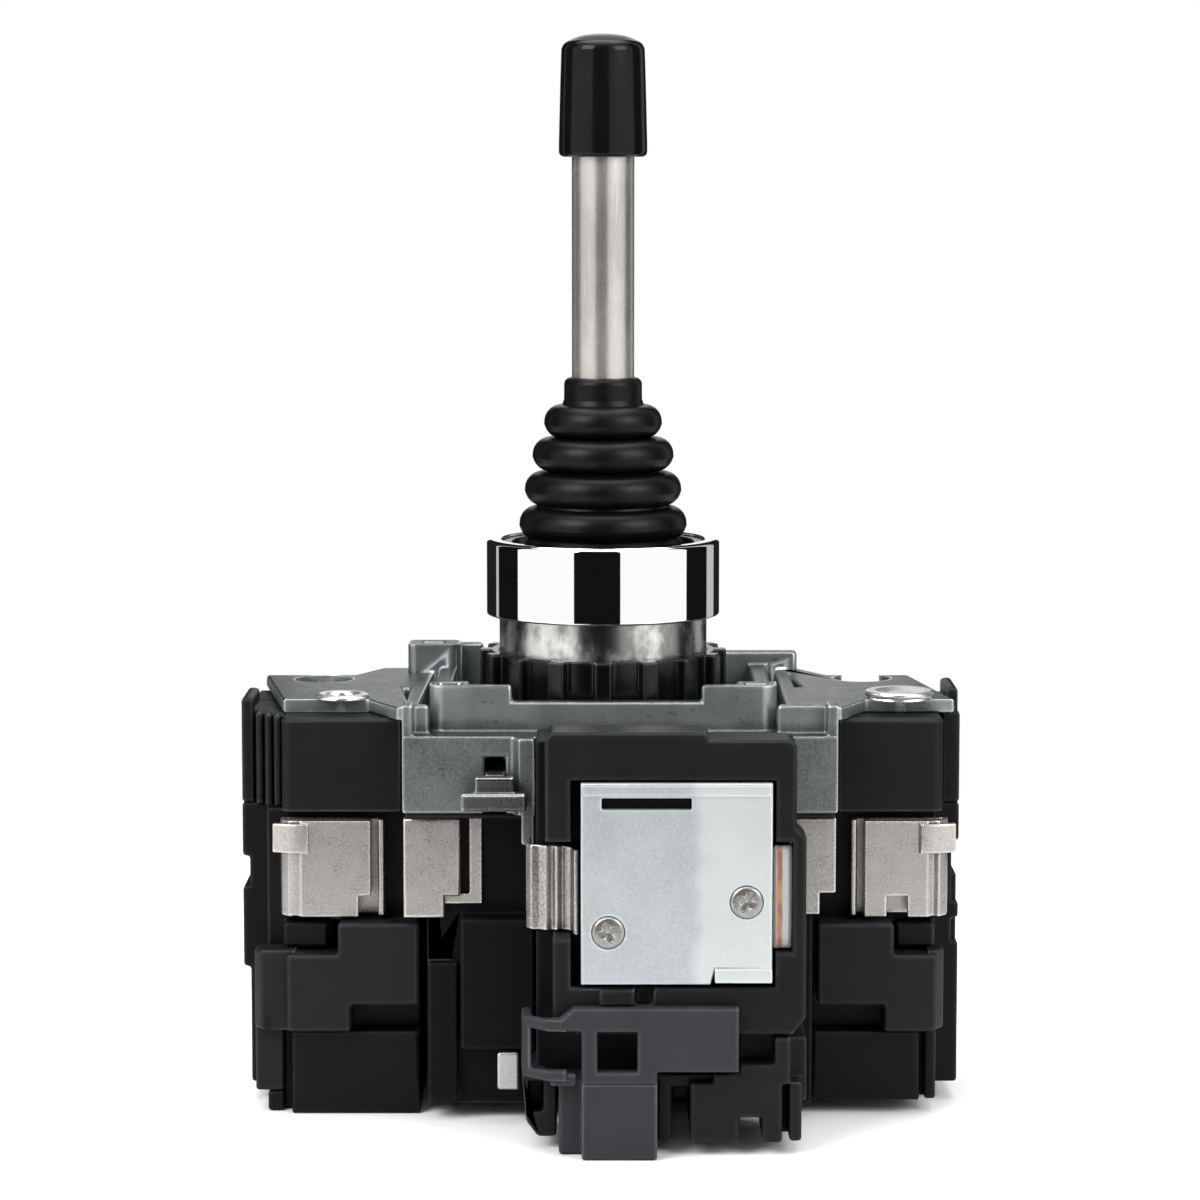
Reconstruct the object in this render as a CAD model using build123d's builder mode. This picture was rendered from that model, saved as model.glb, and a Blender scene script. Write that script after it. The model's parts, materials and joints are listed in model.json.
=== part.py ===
from build123d import *
import math
import os

# Panel-mounted four-way joystick with contact blocks. Millimetres, +Z up along the lever.
# The origin is the centre of the bezel's underside, which is the face of the panel.
# Distances called front are measured from the lever's axis towards the front, along -Y.

# How far the contact units reach out to the sides
reach_a = 45.9
reach_b = 45.3

# Lever
knob_radius = 5.65
knob_top_radius = 5.35
knob_bottom = 59.3
knob_length = 14.8
knob_wall_top = 2.6
knob_dome_radius = 2.6
rod_radius = 4.0
tail_radius = 3.0
pivot_drop = 10.0
pin_radius = 1.2

# Bezel, its insert, the boot and the neck
bezel_radius = 15.0
bezel_height = 9.8
bezel_lip_height = 1.6
bezel_lip_width = 1.9
bezel_rounding = 1.2
neck_radius = 13.35
neck_bore_radius = 10.2
neck_rise = 4.5
neck_length_below_panel = 15.5
boot_flange_thickness = 1.5
boot_wall = 1.2
retainer_bore_radius = 10.4
retainer_mouth_radius = 11.8
retainer_top_drop = 0.4
collar_radius = 5.0
collar_bottom = 27.6
collar_top = 31.2
fold_radius = 2.15
fold_widths = (21.5, 20.1, 18.1, 15.1)
fold_heights = (11.75, 16.2, 20.6, 24.8)
fold_depth = 1.7

# Clamp nut
panel_thickness = 4.55
nut_height = 6.75
nut_body_radius = 14.5
nut_rib_radius = 15.9
nut_rib_width = 2.2
nut_rib_count = 16

# Gimbal, swash plate and centring spring
ring_outer_radius = 9.2
ring_inner_radius = 5.6
ring_height = 5.0
shoulder_drop = 4.5
hub_radius = 5.0
arm_radius = 14.0
arm_reach = 16.2
arm_width = 5.0
arm_thickness = 2.0
arm_drop = 9.5
plunger_play = 1.4
spring_radius = 5.0
spring_wire = 1.0
spring_turns = 3.5

# Zinc casting
box_left = 24.9
box_right = 29.1
box_front = 23.0
deck_top = -12.8
deck_thickness = 1.7
box_bottom = -22.5
box_wall = 1.5
crown_front = 19.0
crown_wall = 2.2
crown_half_width = 21.7
crown_post_top = -7.0
crown_notch_top = -9.0
crown_post_width = 5.0
notch_left = 11.4
notch_right = 12.3
back_post_left = 25.9
back_post_width = 6.9
back_post_top = -4.7
back_wall_top = -7.2
back_wall_start = 16.0
crown_back = 20.0
ledge_wall_top = -9.2
wing_top = -9.6
wing_thickness = 1.7
wing_front = 12.0
wing_root_front = 19.5
wing_tip_wide = reach_b - 0.8
wing_tip_narrow = reach_a - 5.4
wing_hole_radius = 3.8
wing_hole_places = ((9.3 - reach_a, 8.0), (reach_b - 11.3, 9.0))
web_width = 2.0
eyelet_place = (12.8 - reach_a, -10.2)
eyelet_radius = 3.6
eyelet_height = 0.6
rivet_place = (reach_b - 7.7, -10.2)
rivet_shank_radius = 1.5
rivet_head_radius = 4.4
rivet_head_height = 1.0
slot_left = 14.7
slot_width = 2.6
slot_top = -15.4
cheek_left = 11.2
cheek_width = 2.7
cheek_front = 24.6
cheek_foot_left = 10.1
cheek_foot_width = 1.5
cheek_foot_bottom = -26.2
post_corner = 2.0
tall_post_corner = 1.2

# T-shaped slide tab
latch_bar_left = 17.5
latch_bar_width = 8.1
latch_bar_top = -19.3
latch_bar_height = 2.2
latch_bar_depth = 2.6
latch_bump_height = 1.9
latch_bump_left = 15.8
latch_bump_width = 4.8
latch_travel = 1.8

# Centre body, plungers and contacts
body_inset = 2.9
body_front = 20.0
body_bottom = -59.7
well_floor_drop = 5.3
chamber_drop = 3.4
chamber_height = 14.8
chamber_half_width = 6.5
chamber_start = 8.5
plunger_radius = 2.5
plunger_head_length = 12.1
plunger_stem_radius = 1.5
plunger_stem_length = 15.5
bridge_length = 11.0
bridge_width = 4.0
bridge_thickness = 0.8
contact_radius = 1.3
contact_height = 0.5
plunger_spring_radius = 2.35
plunger_spring_wire = 0.5
plunger_spring_turns = 3.0
panel_left = 17.7
panel_right = 8.6
panel_bottom = -52.0
panel_front = 24.0
slab_left = 21.9
slab_right = 18.2
slab_top = -41.5
slab_bottom = -59.0
slab_front = 21.6

# Corner contact units. Unit A stands at the front left and the back right, unit B at the others.
foot_level = -61.6
cap_top = wing_top - wing_thickness
cap_front = 17.5
cap_bottom = -23.1
cap_rib_drop = 4.2
cap_rib_step = 1.2
cap_rib_groove = 0.4
side_front = 10.0
side_inset = 0.9
housing_front = 18.0
groove_front = 15.2
recess_front = 14.5
recess_bottom = -51.0
box_under_cage_front = 17.0
unit_a = {
    "bottom": foot_level,
    "reach": reach_a,
    "cap": (25.3, reach_a - 5.6),
    "ribs": 3,
    "side_block": 1.9,
    "side_top": wing_top,
    "body": (23.1, reach_a - 6.6),
    "strip": (reach_a - 5.5, reach_a - 3.5),
    "strip_front": 16.4,
    "side_bottom": -59.3,
    "narrow": ((-30.0, -33.9), (-44.3, -59.3)),
    "cage": (reach_a - 16.4, reach_a - 8.1, reach_a - 17.0, reach_a - 15.2),
    "box": (reach_a - 11.1, reach_a - 5.7),
    "cover": (23.1, reach_a - 12.7, reach_a - 14.2, reach_a - 6.3),
    "flap": reach_a - 2.0,
    "tail": (reach_a - 5.5, reach_a - 2.0),
}
unit_b = {
    "bottom": -59.9,
    "reach": reach_b,
    "cap": (29.4, reach_b - 2.7),
    "ribs": 0,
    "side_block": 2.6,
    "side_top": cap_top,
    "body": (26.3, reach_b - 5.4),
    "strip": (reach_b - 4.7, reach_b - 3.3),
    "strip_front": 17.0,
    "side_bottom": -59.3,
    "narrow": ((-28.0, -35.9), (-38.0, -41.0)),
    "cage": (reach_b - 12.2, reach_b - 4.7, reach_b - 9.7, reach_b - 7.1),
    "box": (reach_b - 8.3, reach_b - 3.7),
    "cover": (26.9, reach_b - 8.9, reach_b - 10.0, reach_b - 3.5),
    "flap": reach_b - 2.4,
}
cage_front = 18.0
cage_top = -24.2
cage_bottom = -36.4
cage_sheet = 0.7
cage_notch = 2.7
cage_tab_length = 4.0
cover_front = 20.0
cover_top = -36.9
cover_step_top = -40.9
cover_upper_bottom = -47.2
cover_bottom = -50.6
cover_tail_bottom = -58.9
cover_tail_front = 16.6
cover_tail_depth = 5.0
cover_tail_overlap = 1.0

# Inner terminals: a broad plate on each side of the front block, with a lower flange beside it
terminal_top = cage_top + 0.9
terminal_bottom = -35.8
terminal_notch = 2.7
left_plate_outer = 24.9
left_plate_inner = 17.8
left_plate_foot = 19.8
left_flange_outer = 16.7
left_flange_inner = 15.1
left_flange_bottom = -34.2
left_bridge_top = -32.9
left_plate_proud = 1.6
right_plate_inner = 19.4
right_plate_outer = 24.9
right_flange_outer = 29.0
right_plate_foot = 27.0
right_plate_bottom = -35.4
right_plate_proud = 1.2
flange_proud = 0.6

# Front contact block
frame_front = 40.0
frame_depth = 6.5
frame_left = 7.0
frame_right = 23.2
frame_bump_right = 24.4
frame_top = -9.8
frame_step = 0.9
frame_step_x = 12.4
frame_bottom = -46.6
frame_inner_left = 3.9
frame_inner_right = 20.7
frame_inner_top = -15.7
frame_inner_bottom = -40.8
frame_leg_end = -23.1
frame_leg_start = -35.0
frame_bump_top = -21.4
frame_foot_left = 6.1
frame_foot_right = 3.9
frame_foot_bottom = -44.8
frame_block = (-0.5, 3.8)
frame_block_proud = 0.8
frame_recess_right = 6.0
frame_recess_depth = 1.5
pocket_right = 22.8
pocket_bottom = -36.6
plate_left = 2.7
plate_right = 20.3
plate_top = -15.9
plate_bottom = -40.4
plate_thickness = 1.2
plate_proud = 0.5
plate_screw_places = ((0.6, -34.0), (17.2, -30.3))
screw_head_radius = 1.95
screw_head_height = 0.5
screw_shank_radius = 1.0
screw_length = 5.0
housing_left = 8.2
housing_right = 22.4
housing_bottom = -47.0
clip_top = -24.4
clip_bottom = -34.8
clip_sheet = 0.6
strip_front = 38.0
strip_thickness = 1.5
strip_top = frame_leg_end - 0.8
plate_slot_left = -0.2
plate_slot_length = 10.8
plate_slot_height = 1.4
plate_slot_drop = 2.5
plate_tab_width = 6.9
plate_tab_height = 1.7
plate_tab_drop = 2.0
plate_flange_height = 1.3
grey_front = 42.0
grey_thickness = 2.0
grey_top = -43.0
grey_band_bottom = -45.8
grey_window = (-0.7, 4.1, -51.9, -45.9)
grey_window_sill = -50.8
grey_bar_left = -2.6
grey_box_top = -52.3
grey_right = 16.3
grey_arm_left = 10.0
grey_arm_top = -44.4
grey_arm_bottom = -51.9
grey_arm_foot = 1.3
grey_arm_sheet = 1.3
grey_arm_corner = 2.4
grey_hook_right = -3.2
grey_box_right = 6.5
grey_box_left = 5.4
grey_box_back = 33.0
grey_column_drop = 3.0
block_bottom = foot_level
lower_front = 38.0
lower_bottom = -60.1
lower_back_bottom = -56.0
shell_left = 9.9
shell_right = 5.7
shell_corner = 2.0
shell_front = 36.0
shell_hollow_depth = 4.0
shell_hollow = (-9.2, -7.3, -57.0, -53.2)
leg_outer = 8.3
leg_cap_height = 1.5
terminal_front = 40.0
terminal_left = 10.5
terminal_shoulder = -52.6
terminal_step = (13.3, 17.5)
terminal_step_top = -51.4
terminal_right = 21.6
terminal_floor = -59.9
terminal_mouth = (16.4, 19.2)
terminal_mouth_top = -56.8
column_left = 22.5
column_right = 24.0
high_column_right = 24.7
high_column = (-55.6, -47.7)
window_left = 16.5
window_right = 20.7
window_bottom = -50.3
window_piece_bottom = -52.7
window_depth = 4.0
bit_bottom = -57.2
release_tab = (-13.2, -10.5, -57.1, -52.4)

# Clearances and small edges
running_clearance = 0.05
slip_clearance = 0.1
seat_gap = 0.3
edge_break = 0.4
soft_edge = 1.2

pivot_height = -pivot_drop
tail_bottom = pivot_height - arm_drop - arm_thickness
plunger_top = tail_bottom - plunger_play
well_floor = box_bottom - well_floor_drop
body_flange_height = box_bottom - cap_bottom
chamber_top = well_floor - chamber_drop
chamber_floor = chamber_top - chamber_height
neck_bottom = -neck_length_below_panel
flange_top = neck_rise + boot_flange_thickness
frame_back = frame_front - frame_depth
plunger_places = {
    "left": (-arm_radius, 0.0),
    "right": (arm_radius, 0.0),
    "front": (0.0, -arm_radius),
    "back": (0.0, arm_radius),
}


def finish(builder, name):
    """Labels a sub-part and writes it."""
    builder.part.label = name
    export_step(builder.part, "parts/" + name + ".step")


def front_profile(points, front, depth, corner=0.0, mode=Mode.ADD):
    """Extrudes an outline in X and Z backwards from a face that lies this far in front."""
    with BuildSketch(Plane.XZ.offset(front)) as outline:
        Polygon(*points, align=None)
        if corner > 0:
            fillet(outline.vertices(), corner)
    extrude(outline.sketch, amount=-depth, mode=mode)


def plan_profile(points, top, bottom, corner=0.0, mode=Mode.ADD):
    """Extrudes an outline in X and front distance down from one height to another."""
    with BuildSketch(Plane.XY.offset(top)) as outline:
        Polygon(*[(x, -front) for x, front in points], align=None)
        if corner > 0:
            fillet(outline.vertices(), corner)
    extrude(outline.sketch, amount=bottom - top, mode=mode)


def span(left, right, bottom, top):
    """Corners of an upright rectangle."""
    return [(left, bottom), (right, bottom), (right, top), (left, top)]


def bent_sheet(path, top, bottom, thickness):
    """A sheet bent along a path in X and front distance, standing between two heights."""
    with BuildSketch(Plane.XY.offset(bottom)) as section:
        with BuildLine():
            Polyline(*[(x, -front) for x, front in path])
        trace(line_width=thickness)
    extrude(section.sketch, amount=top - bottom)


def break_front_edges(builder, size=edge_break):
    """Breaks the rim of the foremost face."""
    rim = builder.faces().sort_by(Axis.Y)[0].edges()
    chamfer(rim, size)


def turned(source):
    """The same piece on the opposite side, half a turn about the lever's axis."""
    with BuildPart() as opposite:
        add(source.part, rotation=(0, 0, 180))
    return opposite


os.makedirs("parts", exist_ok=True)

# Lever knob: a dipped cap that sits on the rod's end
knob_top = knob_bottom + knob_length
with BuildPart() as lever_knob:
    with BuildSketch(Plane.XZ) as knob_outline:
        with BuildLine():
            Polyline(
                (0, knob_bottom),
                (knob_radius, knob_bottom),
                (knob_radius, knob_bottom + 1.0),
                (knob_top_radius, knob_top),
                (0, knob_top),
                close=True,
            )
        make_face()
        shoulder = knob_outline.vertices().group_by(Axis.Y)[-1].sort_by(Axis.X)[-1]
        fillet(shoulder, knob_dome_radius)
    revolve(axis=Axis.Z)
    with BuildSketch(Plane.XY.offset(knob_bottom)):
        Circle(rod_radius + running_clearance)
    extrude(amount=knob_length - knob_wall_top, mode=Mode.SUBTRACT)
    lowest = lever_knob.faces().sort_by(Axis.Z)[0].outer_wire().edges()
    fillet(lowest, edge_break)
finish(lever_knob, "lever_knob")

# Lever rod: round bar with a thinner tail that carries the swash plate
with BuildPart() as lever_rod:
    with BuildSketch(Plane.XZ):
        with BuildLine():
            Polyline(
                (0, tail_bottom),
                (tail_radius, tail_bottom),
                (tail_radius, pivot_height - shoulder_drop),
                (rod_radius, pivot_height - shoulder_drop),
                (rod_radius, knob_top - knob_wall_top),
                (0, knob_top - knob_wall_top),
                close=True,
            )
        make_face()
    revolve(axis=Axis.Z)
    with BuildSketch(Plane.XZ):
        with Locations((0, pivot_height)):
            Circle(pin_radius + running_clearance)
    extrude(amount=rod_radius * 2, both=True, mode=Mode.SUBTRACT)
finish(lever_rod, "lever_rod")

# Boot: four folds over a tapering core, hollow round the rod
boot_flange_radius = bezel_radius - bezel_lip_width - 0.4
boot_foot_radius = retainer_bore_radius - seat_gap
core = [(width / 2 - fold_depth, height) for width, height in zip(fold_widths, fold_heights)]
hollow = [(radius - boot_wall, height) for radius, height in core]
grip_radius = rod_radius + running_clearance
with BuildPart() as boot:
    with BuildSketch(Plane.XZ):
        Polygon(
            (0, neck_rise),
            (boot_flange_radius, neck_rise),
            (boot_flange_radius, flange_top),
            (boot_foot_radius, flange_top),
            (boot_foot_radius, bezel_height),
            *core,
            (collar_radius, collar_bottom),
            (collar_radius, collar_top - edge_break),
            (collar_radius - edge_break, collar_top),
            (0, collar_top),
            align=None,
        )
        for width, height in zip(fold_widths, fold_heights):
            with Locations((width / 2 - fold_radius, height)):
                Circle(fold_radius)
        Polygon(
            (0, neck_rise - 1),
            (boot_foot_radius - boot_wall, neck_rise - 1),
            (boot_foot_radius - boot_wall, bezel_height),
            *hollow,
            (grip_radius, collar_bottom),
            (grip_radius, collar_top + 1),
            (0, collar_top + 1),
            align=None,
            mode=Mode.SUBTRACT,
        )
    revolve(axis=Axis.Z)
finish(boot, "boot")

# Bezel: chrome ring whose lip closes over the insert
bezel_bore = neck_radius + running_clearance
lip_radius = bezel_radius - bezel_lip_width
with BuildPart() as bezel:
    with BuildSketch(Plane.XZ) as bezel_outline:
        with BuildLine():
            Polyline(
                (bezel_bore, 0),
                (bezel_radius, 0),
                (bezel_radius, bezel_height),
                (lip_radius, bezel_height),
                (lip_radius, bezel_height - bezel_lip_height),
                (bezel_bore, bezel_height - bezel_lip_height),
                close=True,
            )
        make_face()
        rim = bezel_outline.vertices().group_by(Axis.X)[-1].sort_by(Axis.Y)
        fillet(rim[0], bezel_rounding / 2)
        fillet(bezel_outline.vertices().group_by(Axis.Y)[-1].sort_by(Axis.X)[-1], bezel_rounding)
    revolve(axis=Axis.Z)
finish(bezel, "bezel")

# Black insert that presses the boot's flange onto the neck
with BuildPart() as boot_retainer:
    with BuildSketch(Plane.XZ):
        with BuildLine():
            Polyline(
                (retainer_bore_radius, flange_top),
                (lip_radius - slip_clearance, flange_top),
                (lip_radius - slip_clearance, bezel_height - retainer_top_drop),
                (retainer_mouth_radius, bezel_height - retainer_top_drop),
                close=True,
            )
        make_face()
    revolve(axis=Axis.Z)
finish(boot_retainer, "boot_retainer")

# Neck: tube through the panel, with the bearing holes of the gimbal
neck_hole_depth = neck_radius - 0.7
with BuildPart() as neck:
    with BuildSketch(Plane.XY.offset(neck_bottom)):
        Circle(neck_radius)
        Circle(neck_bore_radius, mode=Mode.SUBTRACT)
    extrude(amount=neck_rise - neck_bottom)
    chamfer(neck.edges().group_by(Axis.Z)[-1].sort_by(SortBy.RADIUS)[-1], edge_break)
    with BuildSketch(Plane.YZ):
        with Locations((0, pivot_height)):
            Circle(pin_radius + running_clearance)
    extrude(amount=neck_hole_depth, both=True, mode=Mode.SUBTRACT)
finish(neck, "neck")

# Gimbal ring between the neck's pins and the lever's pin
with BuildPart() as gimbal_ring:
    with BuildSketch(Plane.XY.offset(pivot_height - ring_height / 2)):
        Circle(ring_outer_radius)
        Circle(ring_inner_radius, mode=Mode.SUBTRACT)
    extrude(amount=ring_height)
    for plane in (Plane.YZ, Plane.XZ):
        with BuildSketch(plane):
            with Locations((0, pivot_height)):
                Circle(pin_radius + running_clearance)
        extrude(amount=ring_outer_radius + 1, both=True, mode=Mode.SUBTRACT)
finish(gimbal_ring, "gimbal_ring")

with BuildPart() as gimbal_pins:
    for side in (-1, 1):
        with BuildSketch(Plane.YZ.offset(side * (ring_inner_radius + 0.2))):
            with Locations((0, pivot_height)):
                Circle(pin_radius)
        extrude(amount=side * (neck_hole_depth - ring_inner_radius - 0.5))
finish(gimbal_pins, "gimbal_pins")

with BuildPart() as lever_pin:
    with BuildSketch(Plane.XZ):
        with Locations((0, pivot_height)):
            Circle(pin_radius)
    extrude(amount=ring_outer_radius - 0.3, both=True)
finish(lever_pin, "lever_pin")

# Swash plate: hub on the lever's tail with four rounded arms
arm_top = pivot_height - arm_drop
with BuildPart() as swash_plate:
    with BuildSketch(Plane.XY.offset(arm_top)):
        SlotOverall(arm_reach * 2, arm_width)
        SlotOverall(arm_reach * 2, arm_width, rotation=90)
        Circle(hub_radius + 2)
    extrude(amount=-arm_thickness)
    with BuildSketch(Plane.XY.offset(arm_top)):
        Circle(hub_radius)
    extrude(amount=arm_drop - shoulder_drop)
    with BuildSketch(Plane.XY.offset(tail_bottom)):
        Circle(tail_radius + running_clearance)
    extrude(amount=arm_drop + arm_thickness, mode=Mode.SUBTRACT)
finish(swash_plate, "swash_plate")


def coil(radius, wire, turns, bottom, length, place=(0.0, 0.0)):
    """A round helical spring that stands on a height at a place in plan."""
    usable = length - wire
    with BuildPart() as spring:
        with BuildLine() as winding:
            Helix(pitch=usable / turns, height=usable, radius=radius)
        with BuildSketch(Plane(origin=winding.line @ 0, z_dir=winding.line % 0)):
            RegularPolygon(radius=wire / 2, side_count=6)
        sweep(path=winding.line, is_frenet=True)
    return Pos(place[0], place[1], bottom + wire / 2) * spring.part


# Centring spring between the centre body and the swash plate
spring_pocket_floor = chamber_top - 2.0
with BuildPart() as return_spring:
    add(
        coil(
            spring_radius,
            spring_wire,
            spring_turns,
            spring_pocket_floor + slip_clearance,
            tail_bottom - spring_pocket_floor - 2 * slip_clearance,
        )
    )
finish(return_spring, "return_spring")

# Clamp nut with ribs round its side
nut_top = -panel_thickness
with BuildPart() as clamp_nut:
    with BuildSketch(Plane.XY.offset(nut_top)):
        Circle(nut_body_radius)
        with PolarLocations(nut_body_radius, nut_rib_count, start_angle=-90):
            Rectangle(2 * (nut_rib_radius - nut_body_radius), nut_rib_width)
        Circle(neck_radius + running_clearance, mode=Mode.SUBTRACT)
    extrude(amount=-nut_height)
finish(clamp_nut, "clamp_nut")

# Zinc casting. Its box steps outwards at the back left and at the front right.
box_outline = [
    (-box_left, box_front),
    (box_right, box_front),
    (box_right, 0),
    (box_left, 0),
    (box_left, -box_front),
    (-box_right, -box_front),
    (-box_right, 0),
    (-box_left, 0),
]
wing_outline = [
    (-box_left + 1, wing_root_front),
    (-box_left - 0.8, wing_root_front),
    (-box_left - 4.7, wing_front),
    (-wing_tip_narrow, wing_front),
    (-wing_tip_wide, -wing_front),
    (-box_right - 4.0, -wing_front),
    (-box_right - 0.6, -wing_root_front),
    (-box_right + 1, -wing_root_front),
]
hub_hole = neck_radius + running_clearance
with BuildPart() as base_casting:
    plan_profile(box_outline, deck_top, box_bottom)
    inner_outline = [
        (x - math.copysign(box_wall, x), front - math.copysign(box_wall, front) if front else 0)
        for x, front in box_outline
    ]
    inner_outline[2] = (box_right - box_wall, box_wall)
    inner_outline[3] = (box_left - box_wall, box_wall)
    inner_outline[6] = (-box_right + box_wall, -box_wall)
    inner_outline[7] = (-box_left + box_wall, -box_wall)
    plan_profile(inner_outline, deck_top - deck_thickness, box_bottom, mode=Mode.SUBTRACT)
    for turn in (0, 180):
        flip = -1 if turn else 1
        left_wing = [(flip * x, flip * front) for x, front in wing_outline]
        plan_profile(left_wing, wing_top, wing_top - wing_thickness)
        web = [
            (-box_left, wing_root_front),
            (-box_left + web_width, wing_root_front),
            (-box_left + web_width, -wing_root_front),
            (-box_right, -wing_root_front),
            (-box_right, 0),
            (-box_left, 0),
        ]
        plan_profile([(flip * x, flip * front) for x, front in web], wing_top, deck_top)
    # Front crown: wall with two raised posts and a notch between them
    crown_points = [
        (-crown_half_width + post_corner, deck_top),
        (crown_half_width - post_corner, deck_top),
        (crown_half_width - post_corner, crown_post_top),
        (notch_right, crown_post_top),
        (notch_right, crown_notch_top),
        (-notch_left, crown_notch_top),
        (-notch_left, crown_post_top),
        (-crown_half_width + post_corner, crown_post_top),
    ]
    front_profile(crown_points, crown_front, crown_wall)
    for side in (-1, 1):
        post_middle = side * (crown_half_width - crown_post_width / 2)
        with BuildSketch(Plane.XY.offset(deck_top)) as post:
            with Locations((post_middle, -crown_front + crown_post_width / 2)):
                Rectangle(crown_post_width, crown_post_width)
            outer_corner = post.vertices().group_by(Axis.Y)[0].sort_by(Axis.X)
            fillet(outer_corner[0 if side < 0 else -1], post_corner)
        extrude(amount=crown_post_top - deck_top)
        with BuildSketch(Plane.XY.offset(crown_post_top)):
            with Locations((post_middle, -crown_front + crown_post_width / 2)):
                Rectangle(crown_post_width - 2.4, crown_post_width - 2.8)
        extrude(amount=-1.6, mode=Mode.SUBTRACT)
    # Side walls, the tall back left post and the back right wall
    for side in (-1, 1):
        wall_inner = side * (crown_half_width - crown_wall)
        wall_outer = side * crown_half_width
        left_edge, right_edge = sorted((wall_inner, wall_outer))
        side_wall = span(left_edge, right_edge, -crown_back, crown_front - post_corner)
        plan_profile(side_wall, crown_notch_top, deck_top)
    back_post = span(-back_post_left, -back_post_left + back_post_width, -crown_back, -crown_back + 5.5)
    plan_profile(back_post, back_post_top, deck_top, corner=tall_post_corner)
    post_low = span(-back_post_left + 2, -back_post_left + back_post_width + 3, -crown_back, -crown_back + 2)
    plan_profile(post_low, back_post_top - 0.3, deck_top)
    pocket = span(-back_post_left + 2.0, -back_post_left + 4.6, -crown_back + 1.5, -crown_back + 4.0)
    plan_profile(pocket, back_post_top, back_post_top - 2.0, mode=Mode.SUBTRACT)
    back_wall = span(back_wall_start, back_post_left, -crown_back, -crown_back + 2.4)
    plan_profile(back_wall, back_wall_top, deck_top, corner=tall_post_corner / 2)
    # Ledge walls and end ribs over the front wall
    for inner, outer in ((-crown_half_width, -box_left), (crown_half_width, box_right)):
        ledge = span(min(inner, outer), max(inner, outer), box_front - 3.6, box_front - 2.4)
        plan_profile(ledge, ledge_wall_top, deck_top)
    for rib_left in (-box_left, box_right - 1.3):
        rib = span(rib_left, rib_left + 1.3, box_front - 3.6, box_front - 0.2)
        plan_profile(rib, ledge_wall_top + 0.3, deck_top)
    # Cheeks beside the slots, each with a narrow foot below the wall
    for flip in (1, -1):
        cheek = [
            (-cheek_left, box_front),
            (-cheek_left + 0.8, cheek_front),
            (-cheek_left + cheek_width, cheek_front),
            (-cheek_left + cheek_width, box_front),
        ]
        plan_profile([(flip * x, flip * front) for x, front in cheek], deck_top, box_bottom)
        foot = span(-cheek_foot_left, -cheek_foot_left + cheek_foot_width, box_front, cheek_front)
        plan_profile([(flip * x, flip * front) for x, front in foot], box_bottom, cheek_foot_bottom)
    # The neck's seat, the slots of the slide tabs and the wing holes
    with BuildSketch(Plane.XY.offset(deck_top - deck_thickness)):
        Circle(hub_hole)
    extrude(amount=deck_thickness, mode=Mode.SUBTRACT)
    with BuildSketch(Plane.XY.offset(deck_top)):
        Circle(nut_rib_radius + 1.0)
    extrude(amount=back_post_top - deck_top, mode=Mode.SUBTRACT)
    for flip in (1, -1):
        slot = span(-slot_left, -slot_left + slot_width, box_bottom, slot_top)
        with BuildSketch(Plane.XZ.offset(flip * (box_front + 1))):
            Polygon(*[(flip * x, z) for x, z in slot], align=None)
        extrude(amount=-flip * (box_wall + 2), mode=Mode.SUBTRACT)
    with BuildSketch(Plane.XY.offset(wing_top)):
        with Locations(*wing_hole_places):
            Circle(wing_hole_radius)
        with Locations(eyelet_place, rivet_place):
            Circle(rivet_shank_radius + running_clearance)
    extrude(amount=-wing_thickness, mode=Mode.SUBTRACT)
finish(base_casting, "base_casting")

# Flared eyelet at the front left and domed rivet at the front right, their shanks in the wings
with BuildPart() as wing_rivets:
    for place, radius, height in (
        (eyelet_place, eyelet_radius, eyelet_height),
        (rivet_place, rivet_head_radius, rivet_head_height),
    ):
        with BuildSketch(Plane.XY.offset(wing_top - wing_thickness)):
            with Locations(place):
                Circle(rivet_shank_radius)
        extrude(amount=wing_thickness)
        with BuildSketch(Plane.XY.offset(wing_top)):
            with Locations(place):
                Circle(radius)
        extrude(amount=height)
        rims = wing_rivets.edges().sort_by_distance((place[0], place[1], wing_top + height))
        top_rims = rims.filter_by(lambda rim: rim.center().Z > wing_top + height * 0.9)
        fillet(top_rims[0], height * 0.7)
    with BuildSketch(Plane.XY.offset(wing_top + eyelet_height)):
        with Locations(eyelet_place):
            Circle(eyelet_radius * 0.5)
    extrude(amount=-eyelet_height * 0.8, mode=Mode.SUBTRACT)
finish(wing_rivets, "wing_rivets")

# T-shaped slide tab: bar and bump in front of the wall, a stem in the slot, a plate behind it
latch_front = cheek_front + 2 * slip_clearance
latch_middle = -slot_left + slot_width / 2
with BuildPart() as front_latch:
    bar_bottom = latch_bar_top - latch_bar_height
    bar = span(-latch_bar_left, -latch_bar_left + latch_bar_width, bar_bottom, latch_bar_top)
    front_profile(bar, latch_front + latch_bar_depth, latch_bar_depth, corner=0.4)
    bump = span(
        -latch_bump_left,
        -latch_bump_left + latch_bump_width,
        latch_bar_top - 0.5,
        latch_bar_top + latch_bump_height,
    )
    front_profile(bump, latch_front + latch_bar_depth - 0.9, latch_bar_depth - 0.9, corner=0.2)
    break_front_edges(front_latch, 0.3)
    stem_half = slot_width / 2 - slip_clearance
    stem_top = slot_top - latch_travel - slip_clearance
    stem = span(latch_middle - stem_half, latch_middle + stem_half, bar_bottom, stem_top)
    front_profile(stem, latch_front, latch_front - box_front + box_wall + slip_clearance)
    keeper = span(latch_middle - slot_width, latch_middle + slot_width, bar_bottom + 0.2, stem_top)
    front_profile(keeper, box_front - box_wall - slip_clearance, 0.8)
finish(front_latch, "front_latch")
back_latch = turned(front_latch)
finish(back_latch, "back_latch")

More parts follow.
